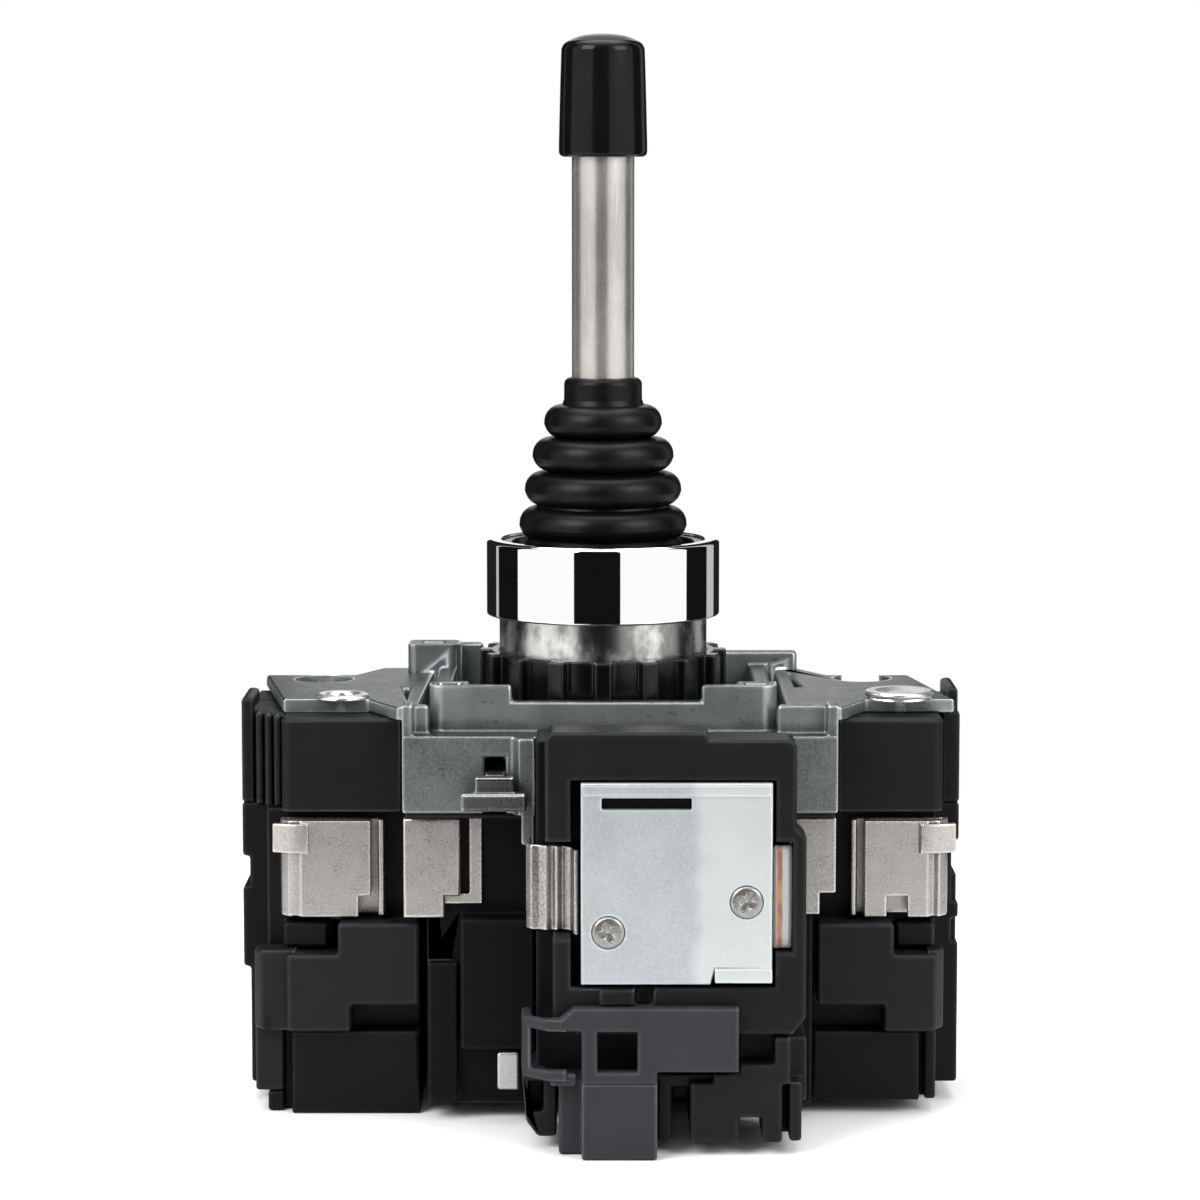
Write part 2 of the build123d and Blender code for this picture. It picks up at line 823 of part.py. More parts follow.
# Centre body: guides and chambers of the four plungers under the well of the swash plate
body_outline = [
    (x - math.copysign(body_inset, x), front * body_front / box_front) for x, front in box_outline
]
with BuildPart() as centre_body:
    plan_profile(body_outline, box_bottom, body_bottom)
    flange = [(x - math.copysign(seat_gap, x), front - math.copysign(seat_gap, front) if front else 0)
              for x, front in box_outline]
    plan_profile(flange, box_bottom, box_bottom - body_flange_height)
    with BuildSketch(Plane.XY.offset(box_bottom)):
        Circle(body_front - 1.6)
    extrude(amount=-well_floor_drop, mode=Mode.SUBTRACT)
    with BuildSketch(Plane.XY.offset(well_floor)):
        Circle(spring_radius + spring_wire + 1)
    extrude(amount=spring_pocket_floor - well_floor, mode=Mode.SUBTRACT)
    with BuildSketch(Plane.XY.offset(well_floor)):
        with PolarLocations(arm_radius, 4):
            Circle(plunger_radius + slip_clearance)
    extrude(amount=-chamber_drop - 1, mode=Mode.SUBTRACT)
    with BuildSketch(Plane.XY.offset(chamber_top)):
        Rectangle(4 * box_right, 2 * chamber_half_width)
        Rectangle(2 * chamber_half_width, 4 * box_front)
        Rectangle(2 * chamber_start, 2 * chamber_start, mode=Mode.SUBTRACT)
    extrude(amount=-chamber_height, mode=Mode.SUBTRACT)
    with BuildSketch(Plane.XY.offset(chamber_floor)):
        with PolarLocations(arm_radius, 4):
            Circle(plunger_stem_radius + slip_clearance)
    extrude(amount=body_bottom - chamber_floor, mode=Mode.SUBTRACT)
    front_panel = span(-panel_left, -panel_right, panel_bottom, cover_top + 1.3)
    slab = span(-slab_left, -slab_right, slab_bottom, slab_top)
    for points, face in ((front_panel, panel_front), (slab, slab_front)):
        front_profile(points, face, face - body_front)
        with BuildSketch(Plane.XZ.offset(-face)):
            Polygon(*[(-x, z) for x, z in points], align=None)
        extrude(amount=face - body_front)
finish(centre_body, "centre_body")

# Plungers, each with its contact bridge, under the arms of the swash plate
bridge_top = plunger_top - plunger_head_length
stem_bottom = bridge_top - plunger_stem_length
for direction, (x, y) in plunger_places.items():
    with BuildPart() as plunger:
        with BuildSketch(Plane.XY.offset(bridge_top)):
            with Locations((x, y)):
                Circle(plunger_radius)
        extrude(amount=plunger_head_length)
        fillet(plunger.edges().group_by(Axis.Z)[-1], 1.4)
        with BuildSketch(Plane.XY.offset(stem_bottom)):
            with Locations((x, y)):
                Circle(plunger_stem_radius)
        extrude(amount=plunger_stem_length)
    finish(plunger, "plunger_" + direction)
    along_y = abs(x) > abs(y)
    with BuildPart() as contact_bridge:
        with BuildSketch(Plane.XY.offset(bridge_top)):
            with Locations((x, y)):
                Rectangle(
                    bridge_width if along_y else bridge_length,
                    bridge_length if along_y else bridge_width,
                )
                Circle(plunger_stem_radius + running_clearance, mode=Mode.SUBTRACT)
        extrude(amount=-bridge_thickness)
        tip = bridge_length / 2 - contact_radius - 0.2
        with BuildSketch(Plane.XY.offset(bridge_top - bridge_thickness)):
            for end in (-tip, tip):
                with Locations((x, y + end) if along_y else (x + end, y)):
                    Circle(contact_radius)
        extrude(amount=-contact_height, taper=30)
    finish(contact_bridge, "bridge_" + direction)

spring_space = bridge_top - bridge_thickness - chamber_floor
with BuildPart() as plunger_springs:
    for place in plunger_places.values():
        add(
            coil(
                plunger_spring_radius,
                plunger_spring_wire,
                plunger_spring_turns,
                chamber_floor + slip_clearance,
                spring_space - 2 * slip_clearance,
                place,
            )
        )
finish(plunger_springs, "plunger_springs")


# Corner contact units. Each unit's outlines are drawn on its own side of the lever.
def corner_unit(name, side, unit):
    """One contact unit at the front: cap, housing, terminal cage and stepped cover."""
    inner, outer = unit["cap"]
    reach = unit["reach"]
    body_inner, body_outer = unit["body"]
    strip_inner, strip_outer = unit["strip"]

    def placed(points):
        return [(side * x, front) for x, front in points]

    # Cap: block with a rounded outer corner and grooved ribs out to the side block
    cap_outline = [(inner, 0), (inner, cap_front), (outer, cap_front)]
    block_inner = reach - unit["side_block"]
    rib_end = outer
    for rib in range(unit["ribs"]):
        rib_pitch = (block_inner - outer) / unit["ribs"]
        rib_start = outer + rib * rib_pitch
        rib_face = cap_front - cap_rib_drop - cap_rib_step * rib
        cap_outline += [
            (rib_start, rib_face - cap_rib_step),
            (rib_start + cap_rib_groove, rib_face - cap_rib_step),
            (rib_start + cap_rib_groove, rib_face),
            (rib_start + rib_pitch, rib_face),
        ]
        rib_end = rib_start + rib_pitch
    cap_outline += [
        (rib_end, side_front - cap_rib_step),
        (block_inner + cap_rib_groove, side_front - cap_rib_step),
        (block_inner + cap_rib_groove, side_front),
        (reach, side_front),
        (reach, 0),
    ]
    with BuildPart() as cap:
        with BuildSketch(Plane.XY.offset(cap_top)) as cap_plan:
            Polygon(*[(x, -front) for x, front in placed(cap_outline)], align=None)
            front_corners = cap_plan.vertices().group_by(Axis.Y)[0].sort_by(Axis.X)
            fillet(front_corners[0 if side < 0 else -1], soft_edge)
        extrude(amount=cap_bottom - cap_top)
        chamfer(cap.faces().sort_by(Axis.Z)[-1].edges(), edge_break)
        if unit["side_top"] > cap_top:
            side_block = span(block_inner + cap_rib_groove, reach, 0, side_front)
            plan_profile(placed(side_block), unit["side_top"], cap_top - 1)
            upper_edges = cap.faces().sort_by(Axis.Z)[-1].edges()
            chamfer(upper_edges, edge_break)
    finish(cap, name + "_cap")

    # Housing: lower block with a recess for the cage, a groove, a strip and a side column
    housing_outline = [
        (body_inner, 0),
        (body_inner, housing_front),
        (body_outer, housing_front),
        (body_outer, groove_front),
        (strip_inner, groove_front),
        (strip_inner, unit["strip_front"]),
        (strip_outer, unit["strip_front"]),
        (strip_outer, side_front),
        (reach, side_front),
        (reach, 0),
    ]
    with BuildPart() as housing:
        plan_profile(placed(housing_outline), cap_bottom, unit["bottom"])
        chamfer(housing.faces().sort_by(Axis.Y)[0].edges(), edge_break)
        recess = span(body_inner - 1, reach + 1, recess_front, housing_front + 1)
        plan_profile(placed(recess), cap_bottom, recess_bottom, mode=Mode.SUBTRACT)
        under_side = span(strip_outer, reach + 1, -1, side_front + 1)
        plan_profile(placed(under_side), unit["side_bottom"], foot_level - 1, mode=Mode.SUBTRACT)
        side_cut = span(reach - side_inset, reach + 1, -1, side_front + 1)
        for top, low in unit["narrow"]:
            plan_profile(placed(side_cut), top, low, mode=Mode.SUBTRACT)
        if "tail" in unit:
            tail_seat = cover_tail_front - cover_tail_depth - slip_clearance
            tail_cut = span(strip_inner, reach + 1, tail_seat, housing_front + 1)
            cut_top = cover_bottom + cover_tail_overlap + slip_clearance
            cut_bottom = cover_tail_bottom - slip_clearance
            plan_profile(placed(tail_cut), cut_top, cut_bottom, mode=Mode.SUBTRACT)
        box_inner, box_outer = unit["box"]
        box = span(box_inner, box_outer, recess_front, box_under_cage_front)
        plan_profile(placed(box), cover_top - 0.4, cover_step_top + 0.6)
    finish(housing, name + "_housing")

    # Terminal cage: bent sheet with a fluted side, a tab at the top and a notch at the bottom
    face_inner, face_outer, notch_inner, notch_outer = unit["cage"]
    sheet_line = cage_front - cage_sheet / 2
    sheet_back = recess_front + cage_sheet / 2
    cage_path = [
        (face_inner, sheet_back + cage_sheet / 2 + seat_gap),
        (face_inner, sheet_line),
        (face_outer, sheet_line),
        (face_outer + 0.8, cage_front - 1.2),
        (face_outer + 1.5, cage_front - 0.8),
        (face_outer + 2.3, cage_front - 1.7),
        (face_outer + 2.5, sheet_back),
        (face_inner - 1.6, sheet_back),
        (face_inner - 1.6, cage_front - 1.0),
    ]
    tab_path = [
        (face_outer - 0.9, cage_front + cage_sheet / 2),
        (face_outer + 1.3, cage_front + cage_sheet / 2),
        (face_outer + 3.6, cage_front - 0.6),
    ]
    with BuildPart() as terminal_cage:
        bent_sheet(placed(cage_path), cage_top, cage_bottom, cage_sheet)
        notch_box = span(notch_inner, notch_outer, recess_front + 1, cage_front + 1)
        plan_profile(placed(notch_box), cage_bottom + cage_notch, cage_bottom, mode=Mode.SUBTRACT)
        bent_sheet(placed(tab_path), cage_top - 0.3, cage_top - cage_tab_length, cage_sheet)
    finish(terminal_cage, name + "_cage")

    # Stepped grey cover over the lower half of the recess, with a flap round its outer edge
    cover_inner, step_out, step_low, cover_outer = unit["cover"]
    cover_points = [
        (side * cover_inner, cover_top),
        (side * step_out, cover_top),
        (side * step_out, cover_step_top),
        (side * cover_outer, cover_step_top),
        (side * cover_outer, cover_bottom),
        (side * step_low, cover_bottom),
        (side * step_low, cover_upper_bottom),
        (side * cover_inner, cover_upper_bottom),
    ]
    flap_outer = unit["flap"]
    flap = [
        (cover_outer - 1.0, recess_front),
        (cover_outer - 1.0, cover_front - 1.2),
        (flap_outer - 1.0, cover_front - 1.2),
        (flap_outer, cover_front - 3.0),
        (flap_outer, recess_front),
    ]
    with BuildPart() as cover:
        front_profile(cover_points, cover_front, cover_front - recess_front, corner=0.5)
        break_front_edges(cover, 0.3)
        plan_profile(placed(flap), cover_step_top + edge_break, cover_bottom)
        if "tail" in unit:
            tail_inner, tail_outer = unit["tail"]
            tail = span(tail_inner, tail_outer, cover_tail_front - cover_tail_depth, cover_tail_front)
            plan_profile(placed(tail), cover_bottom + cover_tail_overlap, cover_tail_bottom)
    finish(cover, name + "_cover")
    return {"cap": cap, "housing": housing, "cage": terminal_cage, "cover": cover}


left_front = corner_unit("left_front", -1, unit_a)
right_front = corner_unit("right_front", 1, unit_b)
for piece, source in left_front.items():
    finish(turned(source), "right_back_" + piece)
for piece, source in right_front.items():
    finish(turned(source), "left_back_" + piece)

# Inner terminals: folded plates on the centre body's front and back
with BuildPart() as inner_terminals:
    left_plate = [
        (-left_plate_outer, terminal_bottom),
        (-left_plate_foot, terminal_bottom),
        (-left_plate_foot, terminal_bottom + terminal_notch),
        (-left_plate_inner, terminal_bottom + terminal_notch),
        (-left_plate_inner, terminal_top),
        (-left_plate_outer, terminal_top),
    ]
    front_profile(left_plate, body_front + left_plate_proud, left_plate_proud)
    break_front_edges(inner_terminals, 0.25)
    left_flange = [
        (-left_plate_foot, left_flange_bottom),
        (-left_flange_inner, left_flange_bottom),
        (-left_flange_inner, terminal_top),
        (-left_flange_outer, terminal_top),
        (-left_flange_outer, left_bridge_top),
        (-left_plate_foot, left_bridge_top),
    ]
    front_profile(left_flange, body_front + flange_proud, flange_proud)
    right_plate = [
        (right_plate_inner, right_plate_bottom),
        (right_plate_foot, right_plate_bottom),
        (right_plate_foot, right_plate_bottom + terminal_notch),
        (right_plate_outer, right_plate_bottom + terminal_notch),
        (right_plate_outer, terminal_top),
        (right_plate_inner, terminal_top),
    ]
    front_profile(right_plate, body_front + right_plate_proud, right_plate_proud)
    flange_bottom = right_plate_bottom + terminal_notch
    right_flange = span(right_plate_outer, right_flange_outer, flange_bottom, terminal_top)
    front_profile(right_flange, body_front + right_plate_proud, right_plate_proud)
    add(inner_terminals.part, rotation=(0, 0, 180))
finish(inner_terminals, "inner_terminals")

# Front contact block
block = {}
with BuildPart() as front_frame:
    frame_points = [
        (-frame_left, frame_top),
        (frame_step_x, frame_top),
        (frame_step_x + 0.3, frame_top - frame_step),
        (frame_right, frame_top - frame_step),
        (frame_right, frame_bump_top),
        (frame_bump_right, frame_bump_top - 1.2),
        (frame_bump_right, frame_bottom + 2.0),
        (frame_bump_right - 1.6, frame_bottom),
        (-frame_foot_right + 0.5, frame_bottom),
        (-frame_foot_right + 0.5, frame_foot_bottom),
        (-frame_foot_left, frame_foot_bottom),
        (-frame_foot_left, frame_leg_start),
        (-frame_foot_right, frame_leg_start),
        (-frame_foot_right, frame_inner_bottom),
        (frame_inner_right, frame_inner_bottom),
        (frame_inner_right, pocket_bottom),
        (pocket_right, pocket_bottom),
        (pocket_right, frame_leg_end),
        (frame_inner_right, frame_leg_end),
        (frame_inner_right, frame_inner_top),
        (-frame_inner_left, frame_inner_top),
        (-frame_inner_left, frame_leg_end),
        (-frame_left, frame_leg_end),
    ]
    with BuildSketch(Plane.XZ.offset(frame_front)) as frame_outline:
        Polygon(*frame_points, align=None)
        for x, z in ((-frame_left, frame_top), (frame_right, frame_top - frame_step)):
            fillet(frame_outline.vertices().sort_by_distance((x, z))[0], soft_edge)
    extrude(amount=-frame_depth)
    break_front_edges(front_frame, 0.3)
    block_low = grey_top + slip_clearance
    recess = span(frame_block[1], frame_recess_right, block_low, frame_inner_bottom)
    front_profile(recess, frame_front, frame_recess_depth, mode=Mode.SUBTRACT)
    raised = span(*frame_block, block_low, frame_inner_bottom - slip_clearance)
    front_profile(raised, frame_front + frame_block_proud, frame_block_proud + 0.5)
block["frame"] = front_frame

# Housing behind the frame, with a pedestal that carries the cover plate
plate_back = frame_front + plate_proud - plate_thickness
with BuildPart() as front_housing:
    housing_points = [
        (-housing_left, frame_top - 0.3),
        (frame_step_x, frame_top - 0.3),
        (frame_step_x + 0.3, frame_top - 0.3 - frame_step),
        (housing_right, frame_top - 0.3 - frame_step),
        (housing_right, housing_bottom),
        (-housing_left, housing_bottom),
    ]
    front_profile(housing_points, frame_back, frame_back - box_front - seat_gap)
    pedestal = span(-plate_left + 0.4, plate_right - 0.3, plate_bottom + 0.4, plate_top - 0.4)
    front_profile(pedestal, plate_back, plate_back - frame_back)
    seat_right = pocket_right - slip_clearance
    strip_seat = span(plate_right - 1.0, seat_right, pocket_bottom + seat_gap, strip_top)
    seat_front = strip_front - strip_thickness
    front_profile(strip_seat, seat_front, seat_front - frame_back)
    neck_top = box_bottom - body_flange_height - seat_gap
    neck_points = span(2.2 - housing_left, housing_right - 4.4, housing_bottom, neck_top)
    front_profile(neck_points, box_front + seat_gap, box_front + seat_gap - body_front)
    for x, z in plate_screw_places:
        with BuildSketch(Plane.XZ.offset(plate_back)):
            with Locations((x, z)):
                Circle(screw_shank_radius + running_clearance)
        extrude(amount=-screw_length, mode=Mode.SUBTRACT)
block["housing"] = front_housing

# Zinc cover plate with a pressed slot, a folded top flange and a folded tab
with BuildPart() as front_plate:
    plate_face = plate_back + plate_thickness
    tab_left = plate_right - plate_tab_width
    tab_top = plate_bottom + plate_tab_drop
    plate_points = [
        (-plate_left, plate_top),
        (plate_right, plate_top),
        (plate_right, tab_top),
        (tab_left, tab_top),
        (tab_left - 0.5, plate_bottom),
        (-plate_left, plate_bottom),
    ]
    front_profile(plate_points, plate_face, plate_thickness)
    break_front_edges(front_plate, 0.2)
    flange_top_edge = plate_top - 0.2
    flange_low_edge = flange_top_edge - plate_flange_height
    top_flange = span(-plate_left + 0.2, plate_right - 0.2, flange_low_edge, flange_top_edge)
    front_profile(top_flange, plate_face + 0.35, 0.35)
    tab = span(tab_left, plate_right, tab_top - plate_tab_height, tab_top)
    front_profile(tab, plate_face + 0.5, plate_thickness + 0.5)
    with BuildSketch(Plane.XZ.offset(plate_face)):
        with Locations((plate_slot_left + plate_slot_length / 2, plate_top - plate_slot_drop)):
            Rectangle(plate_slot_length, plate_slot_height)
        with Locations(*plate_screw_places):
            Circle(screw_head_radius + slip_clearance)
    extrude(amount=-plate_thickness, mode=Mode.SUBTRACT)
block["plate"] = front_plate

# Nickel clip: fluted sheet from the plate's left edge round the housing's corner
with BuildPart() as front_clip:
    clip_back = frame_back + clip_sheet / 2
    clip_path = [
        (-plate_left - 0.5, frame_front - 2.0),
        (-plate_left - 0.9, clip_back + 1.6),
        (-housing_left + 3.2, clip_back + 0.3),
        (-housing_left + 2.6, clip_back + 0.9),
        (-housing_left + 2.0, clip_back + 0.2),
        (-housing_left + 1.3, clip_back + 0.8),
        (-housing_left + 0.6, clip_back + 0.2),
        (-housing_left - 0.4, clip_back + 0.15),
        (-housing_left - 0.9, clip_back - 0.6),
        (-housing_left - 0.9, clip_back - 6.0),
    ]
    bent_sheet(clip_path, clip_top, clip_bottom, clip_sheet)
block["clip"] = front_clip

with BuildPart() as front_strip:
    strip_points = span(plate_right + 0.2, seat_right, pocket_bottom + 0.2, strip_top)
    front_profile(strip_points, strip_front, strip_thickness, corner=0.3)
    break_front_edges(front_strip, 0.3)
block["strip"] = front_strip

# Grey cover: band with a window, a box below it and an arm folded round the left side
with BuildPart() as front_cover:
    band_points = [
        (-grey_box_left, grey_band_bottom + 1.0),
        (-grey_box_left + 1.8, grey_top),
        (grey_right, grey_top),
        (grey_right, grey_window_sill),
        (grey_window[1], grey_window_sill),
        (grey_window[1], grey_box_top),
        (grey_bar_left, grey_box_top),
        (grey_bar_left, grey_band_bottom),
        (-grey_box_left, grey_band_bottom),
    ]
    front_profile(band_points, grey_front, grey_thickness)
    front_profile(span(*grey_window), grey_front, grey_thickness, mode=Mode.SUBTRACT)
    sill = span(grey_bar_left, grey_box_right, grey_box_top, grey_window_sill)
    front_profile(sill, grey_front, grey_thickness)
    break_front_edges(front_cover, 0.25)
    box_points = span(grey_bar_left, grey_box_right, block_bottom, grey_box_top)
    front_profile(box_points, grey_front, grey_front - grey_box_back)
    column_points = span(-grey_box_left, grey_bar_left, block_bottom, grey_box_top)
    column_front = grey_front - grey_column_drop
    front_profile(column_points, column_front, column_front - grey_box_back)
    arm_line = grey_front - grey_arm_sheet / 2
    arm_side = -grey_arm_left + grey_arm_sheet / 2
    arm_path = [
        (-grey_box_left + 1.0, arm_line),
        (-grey_box_left - 1.4, arm_line - 0.3),
        (arm_side + 0.2, arm_line - grey_arm_corner),
        (arm_side, frame_back + seat_gap),
    ]
    bent_sheet(arm_path, grey_arm_top, grey_arm_bottom, grey_arm_sheet)
    window_low = grey_arm_bottom + grey_arm_foot
    arm_window = span(arm_side + grey_arm_sheet / 2, grey_bar_left, window_low, grey_band_bottom)
    front_profile(arm_window, grey_front + 1, grey_front + 1 - frame_back, mode=Mode.SUBTRACT)
    hook = span(-grey_box_left - 1.0, grey_hook_right, grey_box_top - 0.3, grey_arm_bottom + 0.8)
    front_profile(hook, grey_front - 0.6, 1.4)
block["cover"] = front_cover

# Lower housing: shell, leg, terminal block, columns and window piece below the frame
lower_back = grey_box_back - seat_gap
with BuildPart() as front_lower_housing:
    back_points = span(-housing_left, housing_right, lower_back_bottom, housing_bottom)
    front_profile(back_points, lower_back, lower_back - body_front)
    shell_points = [
        (-shell_left, grey_arm_bottom - seat_gap),
        (-shell_right, grey_arm_bottom - seat_gap),
        (-shell_right, lower_bottom),
        (-shell_left + shell_corner, lower_bottom),
        (-shell_left + shell_corner / 4, lower_bottom + shell_corner),
    ]
    front_profile(shell_points, shell_front, shell_front - panel_front - seat_gap)
    front_profile(span(*shell_hollow), shell_front, shell_hollow_depth, mode=Mode.SUBTRACT)
    leg_left = grey_box_right + slip_clearance
    leg_top = grey_window_sill - 1.1
    leg_points = [
        (leg_left, lower_bottom),
        (leg_outer, lower_bottom),
        (leg_outer, leg_top - leg_cap_height),
        (terminal_step[0], leg_top - leg_cap_height),
        (terminal_step[0], leg_top),
        (leg_left, leg_top),
    ]
    front_profile(leg_points, lower_front, lower_front - panel_front)
    bit = span(leg_outer, terminal_left, bit_bottom, lower_back_bottom + 0.5)
    front_profile(bit, lower_back - 3, 4)
    terminal_points = [
        (terminal_left, terminal_shoulder),
        (terminal_step[0], terminal_shoulder),
        (terminal_step[0], terminal_step_top),
        (terminal_step[1], terminal_step_top),
        (terminal_step[1] + 0.7, terminal_shoulder),
        (terminal_right, terminal_shoulder),
        (terminal_right, terminal_floor),
        (terminal_mouth[1], terminal_floor),
        (terminal_mouth[1], terminal_mouth_top),
        (terminal_mouth[0], terminal_mouth_top),
        (terminal_mouth[0], terminal_floor),
        (terminal_left, terminal_floor),
    ]
    front_profile(terminal_points, terminal_front, terminal_front - panel_front)
    groove_back = span(terminal_right, column_left, terminal_floor, terminal_shoulder)
    front_profile(groove_back, lower_back + 2, lower_back + 2 - panel_front)
    column = span(column_left, column_right, terminal_floor, terminal_shoulder)
    front_profile(column, terminal_front - 0.8, terminal_front - 0.8 - panel_front)
    side_column = span(column_left, high_column_right, *high_column)
    front_profile(side_column, lower_front - 2, lower_front - 2 - panel_front)
    window_piece = span(window_left, column_left, window_piece_bottom, housing_bottom)
    front_profile(window_piece, terminal_front, terminal_front - lower_back)
    opening = span(window_left - 1, window_right, window_bottom, housing_bottom + 1)
    front_profile(opening, terminal_front, window_depth, mode=Mode.SUBTRACT)
block["lower_housing"] = front_lower_housing

# T-shaped zinc tab at the lower left
with BuildPart() as front_release_tab:
    tab_left, tab_right, tab_low, tab_high = release_tab
    front_profile(span(*release_tab), panel_front, 1.0, corner=0.4)
    tab_stem = span(tab_left + 0.8, tab_right - 0.7, tab_low + 1.1, tab_high - 1.1)
    front_profile(tab_stem, panel_front - 1.0, panel_front - 1.0 - body_front)
block["release_tab"] = front_release_tab

for piece, source in block.items():
    finish(source, "front_" + piece)
    finish(turned(source), "back_" + piece)

# Cover plate screws of both blocks, with crossed recesses
with BuildPart() as plate_screws:
    for x, z in plate_screw_places:
        with BuildSketch(Plane.XZ.offset(plate_back - screw_length + 0.5)):
            with Locations((x, z)):
                Circle(screw_shank_radius)
        extrude(amount=screw_length - 0.5)
        with BuildSketch(Plane.XZ.offset(plate_back)):
            with Locations((x, z)):
                Circle(screw_head_radius)
        extrude(amount=plate_thickness + screw_head_height)
        with BuildSketch(Plane.XZ.offset(plate_face + screw_head_height)):
            with Locations((x, z)):
                Rectangle(screw_head_radius * 1.1, 0.45, rotation=30)
                Rectangle(screw_head_radius * 1.1, 0.45, rotation=120)
        extrude(amount=-0.9, mode=Mode.SUBTRACT)
    add(plate_screws.part, rotation=(0, 0, 180))
finish(plate_screws, "plate_screws")
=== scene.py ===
import bpy, bmesh, json, math
from mathutils import Matrix, Vector


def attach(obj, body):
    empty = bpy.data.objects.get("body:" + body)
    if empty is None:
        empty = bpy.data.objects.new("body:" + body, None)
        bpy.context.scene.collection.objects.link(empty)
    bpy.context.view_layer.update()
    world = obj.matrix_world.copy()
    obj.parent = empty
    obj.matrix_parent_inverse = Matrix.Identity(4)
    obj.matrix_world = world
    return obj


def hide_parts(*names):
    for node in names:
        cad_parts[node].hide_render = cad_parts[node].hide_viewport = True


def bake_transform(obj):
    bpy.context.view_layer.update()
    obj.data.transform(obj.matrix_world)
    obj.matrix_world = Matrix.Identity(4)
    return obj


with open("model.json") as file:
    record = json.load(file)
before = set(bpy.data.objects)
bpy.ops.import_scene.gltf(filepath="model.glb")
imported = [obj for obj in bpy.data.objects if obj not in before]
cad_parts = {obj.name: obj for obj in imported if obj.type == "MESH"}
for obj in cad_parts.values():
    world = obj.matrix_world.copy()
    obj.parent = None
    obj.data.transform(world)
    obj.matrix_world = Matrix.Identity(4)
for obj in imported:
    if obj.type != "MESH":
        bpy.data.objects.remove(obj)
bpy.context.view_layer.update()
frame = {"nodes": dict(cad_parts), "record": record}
print("frame loaded", len(frame["nodes"]), "nodes")

mm = 0.001
scene = bpy.context.scene
scene.view_settings.view_transform = "Standard"


class Signal:  # one socket, with arithmetic
    def __init__(self, tree, socket):
        self.tree = tree
        self.socket = socket

    def maths(self, operation, *others, clamp=False):
        node = self.tree.nodes.new("ShaderNodeMath")
        node.operation = operation
        node.use_clamp = clamp
        for place, value in zip(node.inputs, others):
            feed(place, value)
        return Signal(self.tree, node.outputs[0])

    def __add__(self, other):
        return self.maths("ADD", self, other)

    def __sub__(self, other):
        return self.maths("SUBTRACT", self, other)

    def __mul__(self, other):
        return self.maths("MULTIPLY", self, other)

    def __truediv__(self, other):
        return self.maths("DIVIDE", self, other)

    def __radd__(self, other):
        return self.maths("ADD", other, self)

    def __rsub__(self, other):
        return self.maths("SUBTRACT", other, self)

    def __rmul__(self, other):
        return self.maths("MULTIPLY", other, self)

    def __rtruediv__(self, other):
        return self.maths("DIVIDE", other, self)

    def clamped(self):
        return self.maths("ADD", self, 0.0, clamp=True)


def feed(place, value):
    if isinstance(value, Signal):
        value.tree.links.new(value.socket, place)
    elif isinstance(value, tuple) and len(value) == 3 and place.type == "RGBA":
        place.default_value = (*value, 1)
    elif value is not None:
        place.default_value = value


class Nodes:  # one emptied node tree
    def __init__(self, tree):
        self.tree = tree
        self.tree.nodes.clear()

    def node(self, kind, settings=None, out=0, **values):
        made = self.tree.nodes.new(kind)
        for key, value in (settings or {}).items():
            setattr(made, key, value)
        for key, value in values.items():
            spot = int(key[2:]) if key[:2] == "in" and key[2:].isdigit() else key.replace("_", " ")
            feed(made.inputs[spot], value)
        return Signal(self.tree, made.outputs[out])


class Finish(Nodes):  # one material and its nodes
    def __init__(self, name):
        self.material = bpy.data.materials.new(name)
        self.material.use_nodes = True
        super().__init__(self.material.node_tree)
        self.output = self.tree.nodes.new("ShaderNodeOutputMaterial")
        self.place = self.node("ShaderNodeTexCoord", out="Object")

    # noise with blobs of about this many mm
    def mist(self, size, detail=3.0, rough=0.55, stretch=(1, 1, 1), seed=0.0):
        moved = self.node("ShaderNodeMapping", Vector=self.place,
                          Location=(seed, seed * 0.7, -seed), Scale=stretch)
        return self.node("ShaderNodeTexNoise", Vector=moved, Scale=1 / (size * mm),
                         Detail=detail, Roughness=rough)

    def ramp(self, value, low, high):  # 0 up to low, 1 from high
        return self.node("ShaderNodeMapRange", {"interpolation_type": "SMOOTHSTEP"},
                         Value=value, From_Min=low, From_Max=high)

    def blend(self, share, first, second):
        return self.node("ShaderNodeMix", {"data_type": "RGBA"}, out=2,
                         in0=share, in6=first, in7=second)

    def axis(self, name):  # one coordinate of the piece, in mm
        return self.node("ShaderNodeSeparateXYZ", out=name, Vector=self.place) / mm

    def edges(self, reach):  # 1 on outer edges, 0 on flats
        inner = self.node("ShaderNodeAmbientOcclusion",
                          {"samples": 6, "inside": True, "only_local": True},
                          out="AO", Distance=reach * mm)
        return self.ramp(1 - inner, 0.06, 0.38)

    def creases(self, reach):  # 1 deep in a corner, 0 in the open
        outer = self.node("ShaderNodeAmbientOcclusion", {"samples": 6}, out="AO", Distance=reach * mm)
        return self.ramp(1 - outer, 0.25, 0.8)

    def bump(self, height, strength, depth, under=None):
        return self.node("ShaderNodeBump", Height=height, Strength=strength,
                         Distance=depth * mm, Normal=under)

    def close(self, **values):
        shader = self.node("ShaderNodeBsdfPrincipled", **values)
        self.tree.links.new(shader.socket, self.output.inputs[0])
        return self.material


